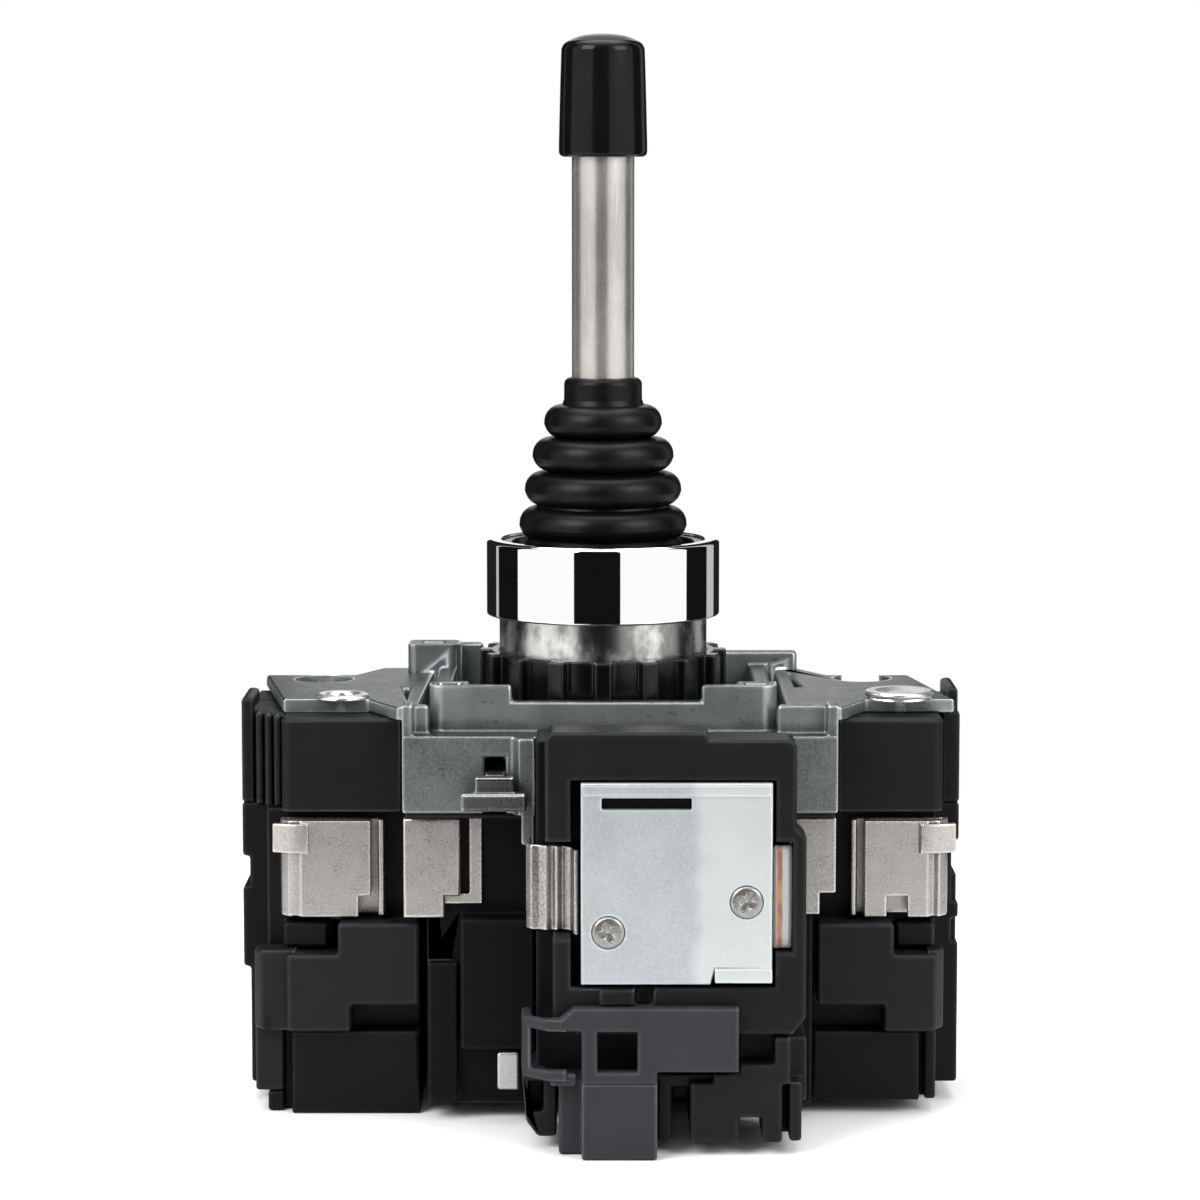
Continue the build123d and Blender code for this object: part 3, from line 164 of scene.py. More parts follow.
def mouldedPlastic(name, look):
    f = Finish(name)
    cloud = f.mist(look["cloud"], 4)
    grain = f.mist(look["grain"], 2, 0.6)
    # outer edges, lightened below partly as wear and partly as a painted highlight
    edgeWearAndHighlight = f.edges(look["edgeReach"]) * (0.35 + 0.9 * f.mist(2.2, 3, seed=3))
    dust = f.creases(1.5) * f.mist(2.5, 3, seed=5)
    scuff = f.ramp(f.mist(0.5, 5, 0.7, (1, 1, 6), seed=8), 0.62, 0.78)
    colour = f.blend(cloud, look["dark"], look["light"])
    colour = f.blend((scuff * 0.25).clamped(), colour, look["scuff"])
    # painted highlight with wear: outer edges lightened towards the edge colour
    colour = f.blend((edgeWearAndHighlight * look["wearAndHighlightShare"]).clamped(), colour, look["edge"])
    colour = f.blend((dust * look["dust"]).clamped(), colour, look["dustColour"])
    rough = look["rough"] + 0.12 * (cloud - 0.5) + 0.1 * (grain - 0.5) - 0.1 * edgeWearAndHighlight + 0.05 * scuff
    normal = f.bump(grain, look["bump"], 0.05, f.bump(f.mist(9, 2, seed=2), 0.2, 0.1))
    return f.close(Base_Color=colour, Roughness=rough.clamped(), Normal=normal,
                   Specular_IOR_Level=look["specular"])


# in these looks edge is the colour that outer edges are lightened to, partly wear and partly a painted
# highlight
capLook = {
    "dark": (0.0046, 0.0047, 0.005), "light": (0.0083, 0.0085, 0.009), "scuff": (0.018, 0.018, 0.019),
    "edge": (0.105, 0.108, 0.113), "wearAndHighlightShare": 0.7, "edgeReach": 0.42,
    "dustColour": (0.016, 0.016, 0.016), "dust": 0.3,
    "cloud": 7.0, "grain": 0.11, "rough": 0.48, "bump": 0.22, "specular": 0.15,
}
blackLook = {**capLook, "dark": (0.0028, 0.0029, 0.0031), "light": (0.0056, 0.0057, 0.006),
             "edge": (0.06, 0.062, 0.066), "specular": 0.14, "rough": 0.45}
coreLook = {**capLook, "dark": (0.0016, 0.0017, 0.0019), "light": (0.0042, 0.0043, 0.0048),
            "edge": (0.05, 0.052, 0.056), "specular": 0.11}
glossLook = {**capLook, "dark": (0.002, 0.002, 0.0021), "light": (0.004, 0.004, 0.0042),
             "edge": (0.08, 0.08, 0.084), "rough": 0.2, "bump": 0.06, "specular": 0.34}
coverLook = {**capLook, "dark": (0.008, 0.0085, 0.0098), "light": (0.0135, 0.0142, 0.0158),
             "edge": (0.11, 0.113, 0.12), "wearAndHighlightShare": 0.6}
lowerLook = {**capLook, "dark": (0.0065, 0.0065, 0.0068), "light": (0.0105, 0.0105, 0.011), "wearAndHighlightShare": 0.5}
slateLook = {**capLook, "dark": (0.023, 0.0245, 0.0275), "light": (0.036, 0.038, 0.042),
             "edge": (0.16, 0.165, 0.175), "wearAndHighlightShare": 0.65}
whiteLook = {**capLook, "dark": (0.62, 0.6, 0.55), "light": (0.72, 0.7, 0.65),
             "scuff": (0.5, 0.48, 0.44), "edge": (0.8, 0.78, 0.74),
             "dustColour": (0.4, 0.38, 0.33), "specular": 0.5}
capPlastic = mouldedPlastic("capPlastic", capLook)
blackPlastic = mouldedPlastic("blackPlastic", blackLook)
corePlastic = mouldedPlastic("corePlastic", coreLook)
lowerPlastic = mouldedPlastic("lowerPlastic", lowerLook)
glossPlastic = mouldedPlastic("glossPlastic", glossLook)
coverPlastic = mouldedPlastic("coverPlastic", coverLook)
slatePlastic = mouldedPlastic("slatePlastic", slateLook)
whitePlastic = mouldedPlastic("whitePlastic", whiteLook)


def platedMetal(name, look):
    f = Finish(name)
    cloud = f.mist(look["cloud"], 4, 0.6)
    speck = f.ramp(f.mist(look["speck"], 3, 0.75, seed=4), 0.34, 0.66)
    fine = f.mist(look["speck"] * 0.4, 2, 0.6, seed=6)
    stroke = f.ramp(f.mist(0.5, 4, 0.7, look["strokeWay"], seed=9), 0.56, 0.74)
    # outer edges, lightened below partly as wear and partly as a painted highlight
    edgeWearAndHighlight = f.edges(look["edgeReach"]) * (0.45 + 0.8 * f.mist(1.4, 3, seed=3))
    # painted shade: darker where the piece closes round a crease or recess
    creaseShade = f.creases(1.8)
    colour = f.blend(cloud, look["dark"], look["light"])
    colour = f.blend(speck * look["speckShare"], colour, look["speckColour"])
    colour = f.blend(stroke * look["strokeShare"], colour, look["strokeColour"])
    if "paintedLightFrom" in look:  # painted light: brighter beyond a distance to both sides of the middle
        across = f.axis("X")
        side = across.maths("ABSOLUTE", across) + 2.4 * (cloud - 0.5)
        paintedLight = f.ramp(side, look["paintedLightFrom"], look["paintedLightFrom"] + 2.2) * look["paintedLightShare"]
        colour = f.blend(paintedLight, colour, look["paintedLightColour"])
    if "streakAt" in look:  # a coloured line down each side
        across = f.axis("X")
        side = across.maths("ABSOLUTE", across) + 0.25 * (f.mist(1.5, 3, seed=11) - 0.5)
        streak = (f.ramp(side, look["streakAt"] - 0.1, look["streakAt"] + 0.1)
                  - f.ramp(side, look["streakAt"] + 0.5, look["streakAt"] + 0.75))
        patches = f.ramp(f.mist(3, 2, seed=12), 0.4, 0.6)
        tint = f.blend(patches, look["streakColour"], look["streakDeep"])
        colour = f.blend((streak * 0.85).clamped(), colour, tint)
    if "crownFrom" in look:  # lighter above one height
        high = f.ramp(f.axis("Z") + 1.5 * (cloud - 0.5), look["crownFrom"], look["crownFrom"] + 1.5)
        colour = f.blend(high * (0.3 + 0.7 * cloud), colour, look["crownColour"])
    if "upwardShadeColour" in look:  # painted shade: darker where it faces up, varied by noise; stain marks as well
        facing = f.node("ShaderNodeNewGeometry", out="Normal")
        upward = f.ramp(f.node("ShaderNodeSeparateXYZ", out="Z", Vector=facing), 0.5, 0.85)
        upwardShade = upward * (0.75 + 0.35 * f.ramp(f.mist(2.5, 5, 0.7, (2, 1, 1), seed=14), 0.3, 0.6))
        colour = f.blend(upwardShade.clamped(), colour, look["upwardShadeColour"])
        marks = f.ramp(f.mist(0.9, 5, 0.75, (0.5, 3, 1), seed=15), 0.6, 0.68)
        colour = f.blend(marks * 0.6, colour, look["stainAndShadeColour"])
    # painted shade: creases and recesses darkened towards the stain colour
    colour = f.blend((creaseShade * look["creaseShade"]).clamped(), colour, look["stainAndShadeColour"])
    # painted highlight with wear: outer edges lightened towards the edge colour
    colour = f.blend((edgeWearAndHighlight * look["wearAndHighlightShare"]).clamped(), colour, look["edge"])
    rough = look["rough"] + look["roughVary"] * (speck - 0.5) + 0.14 * (cloud - 0.5) - 0.14 * edgeWearAndHighlight
    normal = f.bump(fine, look["bump"], 0.04,
                    f.bump(speck, look["bump"], 0.06, f.bump(f.mist(7, 2, seed=2), look["wave"], 0.2)))
    return f.close(Base_Color=colour, Roughness=rough.clamped(), Metallic=look["metal"], Normal=normal)


zincLook = {
    "dark": (0.112, 0.123, 0.125), "light": (0.205, 0.218, 0.219),
    "speckColour": (0.30, 0.32, 0.32), "speckShare": 0.5,
    "strokeColour": (0.42, 0.44, 0.44), "strokeShare": 0.25, "strokeWay": (1, 1, 5),
    # the stain colour is painted shade in creases, and also the colour of the stain marks
    "stainAndShadeColour": (0.035, 0.04, 0.042), "creaseShade": 0.5,
    # edge is the colour that outer edges are lightened to, partly wear and partly a painted highlight
    "edge": (0.85, 0.88, 0.88), "wearAndHighlightShare": 0.9, "edgeReach": 0.4, "cloud": 5.0, "speck": 0.3,
    "rough": 0.36, "roughVary": 0.04, "bump": 0.14, "wave": 0.35, "metal": 0.8,
}
# the colour for upward faces is painted shade on the faces that point up
castLook = {**zincLook, "upwardShadeColour": (0.055, 0.06, 0.064), "crownFrom": -12.4,
            "crownColour": (0.37, 0.40, 0.405)}
plateLook = {
    **zincLook, "dark": (0.385, 0.43, 0.45), "light": (0.53, 0.565, 0.575),
    "speckColour": (0.62, 0.655, 0.66), "speckShare": 0.5, "strokeShare": 0.25,
    "strokeColour": (0.60, 0.63, 0.64), "strokeWay": (3, 1, 1), "creaseShade": 0.3, "rough": 0.42,
    "roughVary": 0.03, "bump": 0.07, "wave": 0.2, "metal": 0.6,
    # the plate's outer parts are lightened here as painted light
    "cloud": 6.0, "paintedLightFrom": 10.1, "paintedLightShare": 0.6, "paintedLightColour": (0.73, 0.765, 0.755),
}
tabLook = {**zincLook, "dark": (0.4, 0.41, 0.405), "light": (0.6, 0.61, 0.605),
           "speckColour": (0.72, 0.73, 0.72), "rough": 0.32}
latchLook = {**zincLook, "dark": (0.075, 0.078, 0.077), "light": (0.125, 0.129, 0.127),
             "speckColour": (0.2, 0.205, 0.2), "rough": 0.3, "edge": (0.95, 0.96, 0.95)}
nickelLook = {
    "dark": (0.315, 0.298, 0.276), "light": (0.49, 0.466, 0.434),
    "speckColour": (0.66, 0.632, 0.592), "speckShare": 0.6,
    "strokeColour": (0.60, 0.58, 0.55), "strokeShare": 0.22, "strokeWay": (1, 1, 0.2),
    # the stain colour is painted shade in creases
    "stainAndShadeColour": (0.06, 0.055, 0.05), "creaseShade": 0.5,
    # edge is the colour that outer edges are lightened to, partly wear and partly a painted highlight
    "edge": (0.95, 0.93, 0.90), "wearAndHighlightShare": 0.95, "edgeReach": 0.4, "cloud": 2.6, "speck": 0.26,
    "rough": 0.3, "roughVary": 0.04, "bump": 0.12, "wave": 0.35, "metal": 0.85,
}
clipLook = {**nickelLook, "rough": 0.2, "dark": (0.13, 0.127, 0.118), "light": (0.28, 0.272, 0.255),
            "wave": 0.6}
# strong painted shade in the screw recesses
screwLook = {**nickelLook, "dark": (0.20, 0.20, 0.19), "light": (0.32, 0.315, 0.30),
             "speckColour": (0.42, 0.415, 0.40), "edge": (0.8, 0.8, 0.78), "rough": 0.3, "creaseShade": 0.9}
stripLook = {
    **nickelLook, "dark": (0.8, 0.79, 0.76), "light": (0.88, 0.87, 0.84),
    "speckColour": (0.92, 0.91, 0.88), "metal": 0.0, "bump": 0.06,
    "streakAt": 20.95, "streakColour": (0.80, 0.36, 0.11), "streakDeep": (0.55, 0.12, 0.05),
}
brightLook = {
    **nickelLook, "dark": (0.46, 0.465, 0.46), "light": (0.62, 0.625, 0.62),
    "speckColour": (0.74, 0.74, 0.74), "speckShare": 0.2, "rough": 0.3,
    # strong painted shade in the hollows of the eyelet and rivet
    "roughVary": 0.08, "bump": 0.05, "creaseShade": 0.8, "metal": 0.85, "wave": 0.2,
}
copperLook = {**nickelLook, "dark": (0.55, 0.27, 0.15), "light": (0.7, 0.4, 0.24),
              "speckColour": (0.8, 0.5, 0.32), "edge": (0.9, 0.6, 0.42),
              "strokeColour": (0.8, 0.55, 0.4)}
castZinc = platedMetal("castZinc", castLook)
latchZinc = platedMetal("latchZinc", latchLook)
plateZinc = platedMetal("plateZinc", plateLook)
nickel = platedMetal("nickelSheet", nickelLook)
clipNickel = platedMetal("clipNickel", clipLook)
stripNickel = platedMetal("stripNickel", stripLook)
brightSteel = platedMetal("brightSteel", brightLook)
copperAlloy = platedMetal("copperAlloy", copperLook)
screwSteel = platedMetal("screwSteel", screwLook)
tabZinc = platedMetal("tabZinc", tabLook)


def turnedSteel(name, look):
    f = Finish(name)
    rings = f.mist(0.09, 3, 0.6, (0.06, 0.06, 1.0))
    streaks = f.mist(0.16, 3, 0.6, (1.0, 1.0, 0.04), seed=2)
    patch = f.ramp(f.mist(look["patch"], 3, 0.6, (1, 1, 0.6), seed=5), 0.38, 0.62)
    scar = f.ramp(f.mist(0.7, 4, 0.75, (2, 2, 0.5), seed=7), 0.64, 0.76)
    colour = f.blend(patch, look["dark"], look["light"])
    colour = f.blend(f.ramp(streaks, 0.5, 0.75) * look["streakShare"], colour, look["streak"])
    colour = f.blend(scar * 0.3, colour, look["scar"])
    rough = (look["rough"] + 0.08 * (rings - 0.5) + 0.1 * (streaks - 0.5)
             + look["patchRough"] * (patch - 0.5))
    normal = f.bump(rings, look["bump"], 0.008,
                    f.bump(f.mist(look["patch"], 2, 0.5, (1, 1, 0.3), seed=4), look["wave"], 0.12))
    return f.close(Base_Color=colour, Roughness=rough.clamped(), Metallic=look["metal"], Normal=normal)


rodLook = {
    "dark": (0.48, 0.46, 0.43), "light": (0.57, 0.55, 0.515), "streak": (0.74, 0.71, 0.67),
    "streakShare": 0.4, "scar": (0.35, 0.34, 0.32),
    "rough": 0.27, "patchRough": 0.04, "patch": 8.0, "bump": 0.25, "wave": 0.0, "metal": 0.8,
}
# the wide span from dark to light paints patchy reflections into the colour, on top of random tone
neckLook = {
    "dark": (0.25, 0.25, 0.24), "light": (0.82, 0.815, 0.79), "streak": (0.5, 0.49, 0.47),
    "streakShare": 0.25, "scar": (0.07, 0.07, 0.065),
    "rough": 0.27, "patchRough": 0.06, "patch": 4.0, "bump": 0.2, "wave": 0.4, "metal": 1.0,
}
rodSteel = turnedSteel("rodSteel", rodLook)
neckSteel = turnedSteel("neckSteel", neckLook)


vinylLook = {"dark": (0.0028, 0.0028, 0.0029), "light": (0.0052, 0.0052, 0.0054), "rough": 0.16,
             "specular": 0.2}


def vinylSkin(look):
    f = Finish("vinylSkin")
    sway = f.mist(14, 2)
    fleck = f.mist(0.5, 4, seed=4)
    smear = f.ramp(f.mist(3.0, 4, 0.65, (1, 1, 0.4), seed=6), 0.5, 0.75)
    colour = f.blend(sway, look["dark"], look["light"])
    rough = look["rough"] + 0.08 * (fleck - 0.5) + 0.08 * smear
    normal = f.bump(sway, 0.3, 0.3, f.bump(fleck, 0.06, 0.02))
    return f.close(Base_Color=colour, Roughness=rough.clamped(), Normal=normal,
                   Specular_IOR_Level=look["specular"])


rubberLook = {"dark": (0.0016, 0.0016, 0.0017), "light": (0.0032, 0.0032, 0.0034),
              "bloom": (0.014, 0.014, 0.014), "rough": 0.34, "specular": 0.18}


def bootRubber(look):
    f = Finish("bootRubber")
    cloud = f.mist(5, 4)
    grain = f.mist(0.16, 3, 0.6, seed=2)
    bloom = f.ramp(f.mist(1.5, 5, 0.65, (1, 1, 1.6), seed=7), 0.5, 0.8)
    colour = f.blend(cloud, look["dark"], look["light"])
    colour = f.blend(bloom * 0.3, colour, look["bloom"])
    rough = look["rough"] + 0.12 * (cloud - 0.5) + 0.12 * bloom + 0.06 * (grain - 0.5)
    return f.close(Base_Color=colour, Roughness=rough.clamped(), Normal=f.bump(grain, 0.25, 0.03),
                   Specular_IOR_Level=look["specular"])


chromeLook = {"dark": (0.955, 0.955, 0.96), "light": (0.985, 0.985, 0.99), "rough": 0.03}


def mirrorChrome(look):
    f = Finish("mirrorChrome")
    wipe = f.mist(4, 4, 0.6, (1, 1, 3))
    hair = f.ramp(f.mist(0.15, 3, 0.7, (1, 1, 8), seed=3), 0.6, 0.8)
    colour = f.blend(wipe, look["dark"], look["light"])
    rough = look["rough"] + 0.02 * (wipe - 0.5) + 0.03 * hair
    return f.close(Base_Color=colour, Roughness=rough.clamped(), Metallic=1.0,
                   Normal=f.bump(hair, 0.03, 0.003))


vinyl = vinylSkin(vinylLook)
rubber = bootRubber(rubberLook)
chrome = mirrorChrome(chromeLook)
print("materials made")


def link(name, mesh, material, smoothAngle=35):
    piece = bpy.data.objects.new(name, mesh)
    scene.collection.objects.link(piece)
    mesh.materials.clear()
    mesh.materials.append(material)
    mesh.polygons.foreach_set("use_smooth", [True] * len(mesh.polygons))
    mesh.set_sharp_from_angle(angle=math.radians(smoothAngle))
    return piece


def keep(piece, body, slot, *nodes):
    if nodes:
        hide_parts(*nodes)
    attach(piece, body)
    return piece


def cleanCopy(node):  # welded copy of a CAD node's mesh with its flats joined up
    grown = bmesh.new()
    grown.from_mesh(frame["nodes"][node].data)
    bmesh.ops.remove_doubles(grown, verts=grown.verts, dist=0.002 * mm)
    bmesh.ops.dissolve_limit(grown, angle_limit=math.radians(0.6), verts=grown.verts,
                             edges=grown.edges)
    points = [tuple(v.co) for v in grown.verts]
    faces = [[v.index for v in f.verts] for f in grown.faces]
    grown.free()
    mesh = bpy.data.meshes.new(node)
    mesh.from_pydata(points, [], faces)
    mesh.validate()
    return mesh


# shares of a face's width that the roundings of its edges may take, and where along an edge to look
room = {"end": 0.44, "shared": 0.45, "whole": 0.85, "along": 0.9, "passes": 12,
        "spots": (0.04, 0.3, 0.5, 0.7, 0.96)}


def widthLimits(grown, width, sharp):  # how wide each sharp edge can be rounded, in metres
    limits = {}
    for edge in sharp:
        first, last = (v.co for v in edge.verts)
        along = (last - first).normalized()
        limit = width
        for vert in edge.verts:
            for other in vert.link_edges:
                if other is edge:
                    continue
                far = other.other_vert(vert).co - vert.co
                length = far.length
                if other in sharp and abs(far.normalized().dot(along)) < room["along"]:
                    limit = min(limit, length * room["end"])
                elif other not in sharp:
                    limit = min(limit, length * room["whole"])
        for face in edge.link_faces:
            inward = face.normal.cross(along).normalized()
            loop = next(l for l in face.loops if l.edge is edge)
            if (loop.link_loop_next.vert.co - loop.vert.co).dot(along) < 0:
                inward = -inward
            for spot in room["spots"]:
                start = first.lerp(last, spot)
                for side in face.edges:
                    if side is edge:
                        continue
                    a, b = side.verts[0].co - start, side.verts[1].co - start
                    ax, ay, bx, by = a.dot(along), a.dot(inward), b.dot(along), b.dot(inward)
                    if ax * bx > 0 or abs(ax - bx) < 1e-9:
                        continue
                    across = ay + (by - ay) * ax / (ax - bx)
                    if across > 1e-6:
                        limit = min(limit, across * room["shared" if side in sharp else "whole"])
        limits[edge] = limit
    for _ in range(room["passes"]):  # one width along each run of edges
        for edge in sharp:
            along = (edge.verts[1].co - edge.verts[0].co).normalized()
            for vert in edge.verts:
                for other in vert.link_edges:
                    if other in limits and other is not edge:
                        far = (other.other_vert(vert).co - vert.co).normalized()
                        if abs(far.dot(along)) > room["along"]:
                            limits[edge] = min(limits[edge], limits[other])
    return limits


def measured(mesh):  # area, volume and the farthest point in each direction
    grown = bmesh.new()
    grown.from_mesh(mesh)
    bmesh.ops.triangulate(grown, faces=grown.faces)
    area, volume = sum(f.calc_area() for f in grown.faces), grown.calc_volume()
    reach = [max(way * v.co[k] for v in grown.verts) for k in range(3) for way in (1, -1)]
    grown.free()
    return area, volume, reach


# parts that the photo shows lower than the CAD: over this height, left of this line, by so much
letDown = {"base_casting": (-6.8, -15.0, 1.15), "front_housing": (-11.2, 100.0, 1.6),
           "back_housing": (-11.2, 100.0, 1.6)}


def lowered(mesh, above, left, drop):
    for vert in mesh.vertices:
        if vert.co.z > above * mm and vert.co.x < left * mm:
            vert.co.z -= drop * mm


soft = {"steps": 2, "angle": 28, "least": 0.02, "shares": (1, 0.75, 0.5, 0.3, 0.15, 0.0),
        "mostArea": 1.0008, "leastVolume": 0.93, "beyond": 0.002, "evenness": 60}


def softened(node, material, slot, body, width):  # the node with its edges rounded
    mesh = cleanCopy(node)
    if node in letDown:
        lowered(mesh, *letDown[node])
    area, volume, reach = measured(mesh)
    grown = bmesh.new()
    grown.from_mesh(mesh)
    layer = grown.edges.layers.float.new("bevel_weight_edge")
    grown.edges.index_update()
    turn = math.radians(soft["angle"])
    sharp = {e: True for e in grown.edges if len(e.link_faces) == 2 and e.calc_face_angle(0) > turn}
    limits = widthLimits(grown, width * mm, sharp)
    weights = [0.0] * len(grown.edges)
    for edge in sharp:
        if limits[edge] > soft["least"] * mm:
            edge[layer] = weights[edge.index] = limits[edge] / (width * mm)
    grown.to_mesh(mesh)
    grown.free()
    piece = link(node + "_form", mesh, material)
    for edge, weight in zip(mesh.edges, weights):
        if weight > 0:
            edge.use_edge_sharp = False
    edges = piece.modifiers.new("edges", "BEVEL")
    edges.segments = soft["steps"]
    edges.limit_method = "WEIGHT"
    edges.use_clamp_overlap = False
    for share in soft["shares"]:  # as wide as leaves the form whole
        edges.width = width * mm * share
        made = piece.evaluated_get(bpy.context.evaluated_depsgraph_get())
        newArea, newVolume, newReach = measured(made.to_mesh())
        made.to_mesh_clear()
        beyond = max(new - old for new, old in zip(newReach, reach))
        whole = newArea < area * soft["mostArea"] and newVolume > volume * soft["leastVolume"]
        if whole and beyond < soft["beyond"] * mm:
            break
    if share < 0.7:
        print("edges of", node, "rounded at", share)
    even = piece.modifiers.new("normals", "WEIGHTED_NORMAL")
    even.keep_sharp = True
    even.weight = soft["evenness"]
    return keep(piece, body, slot, node)


def rounded(points, radii, steps=5):  # arcs at the corners of an (r, z) outline
    out = []
    count = len(points)
    for i, (point, radius) in enumerate(zip(points, radii)):
        here = Vector(point)
        if radius <= 0:
            out.append(tuple(here))
            continue
        before, after = Vector(points[i - 1]), Vector(points[(i + 1) % count])
        inward, outward = (before - here).normalized(), (after - here).normalized()
        turn = inward.angle(outward)
        reach = min(radius / math.tan(turn / 2), (before - here).length * 0.49,
                    (after - here).length * 0.49)
        true = reach * math.tan(turn / 2)
        centre = here + (inward + outward).normalized() * (true / math.sin(turn / 2))
        start, end = here + inward * reach - centre, here + outward * reach - centre
        sweep = start.angle_signed(end) if start.length > 0 else 0
        for k in range(steps + 1):
            angle = -sweep * k / steps
            c, s = math.cos(angle), math.sin(angle)
            out.append((centre.x + start.x * c - start.y * s, centre.y + start.x * s + start.y * c))
    return out


# extra points at both ends of the long runs, which keep them straight in the shading
def held(outline, near=0.04):
    out = []
    for here, after in zip(outline, outline[1:] + outline[:1]):
        out.append(here)
        a, b = Vector(here), Vector(after)
        if (b - a).length > near * 8 and max(a.x, b.x) > 1e-6:
            step = (b - a).normalized() * near
            out += [tuple(a + step), tuple(b - step)]
    return out


def turned(outline, around=144):  # closed (r, z) outline in mm, turned round Z
    grown = bmesh.new()
    rings = []
    outline = held(outline)
    for r, z in outline:
        if r < 1e-6:
            rings.append([grown.verts.new((0, 0, z * mm))])
        else:
            angles = [2 * math.pi * k / around for k in range(around)]
            rings.append([grown.verts.new((r * math.cos(a) * mm, r * math.sin(a) * mm, z * mm))
                          for a in angles])
    closed = outline[0][0] > 1e-6
    for low, high in list(zip(rings, rings[1:])) + ([(rings[-1], rings[0])] if closed else []):
        for k in range(around):
            n = (k + 1) % around
            if len(low) == 1 and len(high) == 1:
                continue
            if len(low) == 1:
                grown.faces.new((low[0], high[n], high[k]))
            elif len(high) == 1:
                grown.faces.new((low[k], low[n], high[0]))
            else:
                grown.faces.new((low[k], low[n], high[n], high[k]))
    return grown


def lathe(name, outline, material, around=144, smoothAngle=40, place=None):
    grown = turned(outline, around)
    if place:
        bmesh.ops.transform(grown, matrix=place, verts=grown.verts)
    bmesh.ops.recalc_face_normals(grown, faces=grown.faces)
    mesh = bpy.data.meshes.new(name)
    grown.to_mesh(mesh)
    grown.free()
    return link(name, mesh, material, smoothAngle)


knob = {"radius": 5.65, "topRadius": 5.3, "bottom": 58.5, "length": 15.6, "dome": 1.7, "crown": 1.05,
        "lip": 0.7, "wall": 2.6, "rod": 4.05}
low, top = knob["bottom"], knob["bottom"] + knob["length"]
shoulder = top - knob["crown"]
domeLine = [(knob["topRadius"] * math.sin(math.radians(a)) * 0.78,
             shoulder + knob["crown"] * math.cos(math.radians(a))) for a in range(15, 75, 12)]
knobOutline = rounded(
    [(0, top), *domeLine, (knob["topRadius"], shoulder - 0.25), (knob["topRadius"] + 0.15, top - 6),
     (knob["radius"], low + 1.6), (knob["radius"], low),
     (knob["rod"], low), (knob["rod"], top - knob["wall"]), (0, top - knob["wall"])],
    [0, *[0] * len(domeLine), knob["dome"], 8, 2, knob["lip"], 0.3, 0, 0], 8)
keep(lathe("knobSkin", knobOutline, vinyl, smoothAngle=60), "lever", "vinyl", "lever_knob")

rod = {"radius": 4.0, "tail": 3.0, "shoulder": -14.5, "bottom": -21.5, "top": 71.5}
rodOutline = rounded(
    [(0, rod["bottom"]), (rod["tail"], rod["bottom"]), (rod["tail"], rod["shoulder"]),
     (rod["radius"], rod["shoulder"]), (rod["radius"], rod["top"]), (0, rod["top"])],
    [0, 0.4, 0.2, 0.3, 0.4, 0], 3)
keep(lathe("rodBar", rodOutline, rodSteel), "lever", "steel", "lever_rod")

boot = {
    "foldWidths": (21.5, 20.1, 18.1, 15.1), "foldHeights": (11.75, 16.2, 20.6, 24.8),
    "foldRadius": 2.15, "flash": 0.05, "valley": 0.1, "wall": 1.2, "lining": 0.25,
    "foot": 10.05, "flange": 12.7, "flangeBottom": 4.5, "flangeTop": 6.0, "footLining": 0.5,
    "outerFoot": 2.3, "innerFoot": 2.15, "innerStep": 0.6, "notch": 9.65,
    "collar": 5.0, "collarFrom": 27.6, "collarStraight": 28.2, "collarTop": 30.45,
    "collarRound": 0.9, "grip": 4.05, "gripFrom": 27.2,
    "seamAngle": 50, "bendFrom": 7.0, "bendTo": 19.5,
}


# one bulging fold with a fine moulding line round its middle
def foldOutline(width, height, valleyBelow, valleyAbove):
    r = boot["foldRadius"]
    middle = width / 2 - r
    out = [(valleyBelow, height - r - 0.02)] if valleyBelow else []
    for k in range(21):
        a = math.radians(-84 + 168 * k / 20)
        lift = boot["flash"] if k == 9 else 0
        out.append((middle + (r + lift) * math.cos(a), height + r * math.sin(a)))
    out.append((valleyAbove, height + r + 0.02))
    return out


widths, heights = boot["foldWidths"], boot["foldHeights"]
valleys = [width / 2 - boot["foldRadius"] - boot["valley"] for width in widths[1:]]
valleys.append(boot["collar"] + 0.25)
firstFold = foldOutline(widths[0], heights[0], None, valleys[0])


def nearSeam(step):  # a point of the first fold, so many degrees above the seam
    angle = math.radians(boot["seamAngle"]) + math.radians(step)
    r = boot["foldRadius"]
    return widths[0] / 2 - r * (1 - math.cos(angle)), heights[0] + r * math.sin(angle)


seamRadius, seam = nearSeam(0)
lowerOut = [(boot["foot"] - boot["footLining"], boot["flangeBottom"]),
            (boot["flange"], boot["flangeBottom"]), (boot["flange"], boot["flangeTop"]),
            (boot["foot"], boot["flangeTop"]), (boot["foot"], heights[0] - boot["outerFoot"])]
lowerOut += [p for p in firstFold if p[0] > boot["notch"] and p[1] < nearSeam(-2)[1]]
lowerOut += [nearSeam(-0.8), (seamRadius, seam), (seamRadius - boot["lining"], seam),
             (widths[0] / 2 - boot["footLining"], heights[0]),
             (boot["foot"] - boot["innerStep"], heights[0] - boot["innerFoot"])]
upperOut = [(seamRadius - boot["wall"], seam), (seamRadius, seam), nearSeam(0.8)]
upperOut += [p for p in firstFold if p[1] > nearSeam(2)[1]]
for i in (1, 2, 3):
    upperOut += foldOutline(widths[i], heights[i], valleys[i - 1], valleys[i])
upperOut += [(boot["collar"] + 0.02, boot["collarFrom"]), (boot["collar"], boot["collarStraight"])]
for k in range(7):
    a = math.radians(90 * k / 6)
    turn = boot["collarRound"]
    upperOut.append((boot["collar"] - turn + turn * math.cos(a),
                     boot["collarTop"] - turn + turn * math.sin(a)))
upperOut += [(boot["grip"], boot["collarTop"] - 0.05), (boot["grip"], boot["gripFrom"])]
bootLower = lathe("bootLower", lowerOut, rubber, smoothAngle=60)
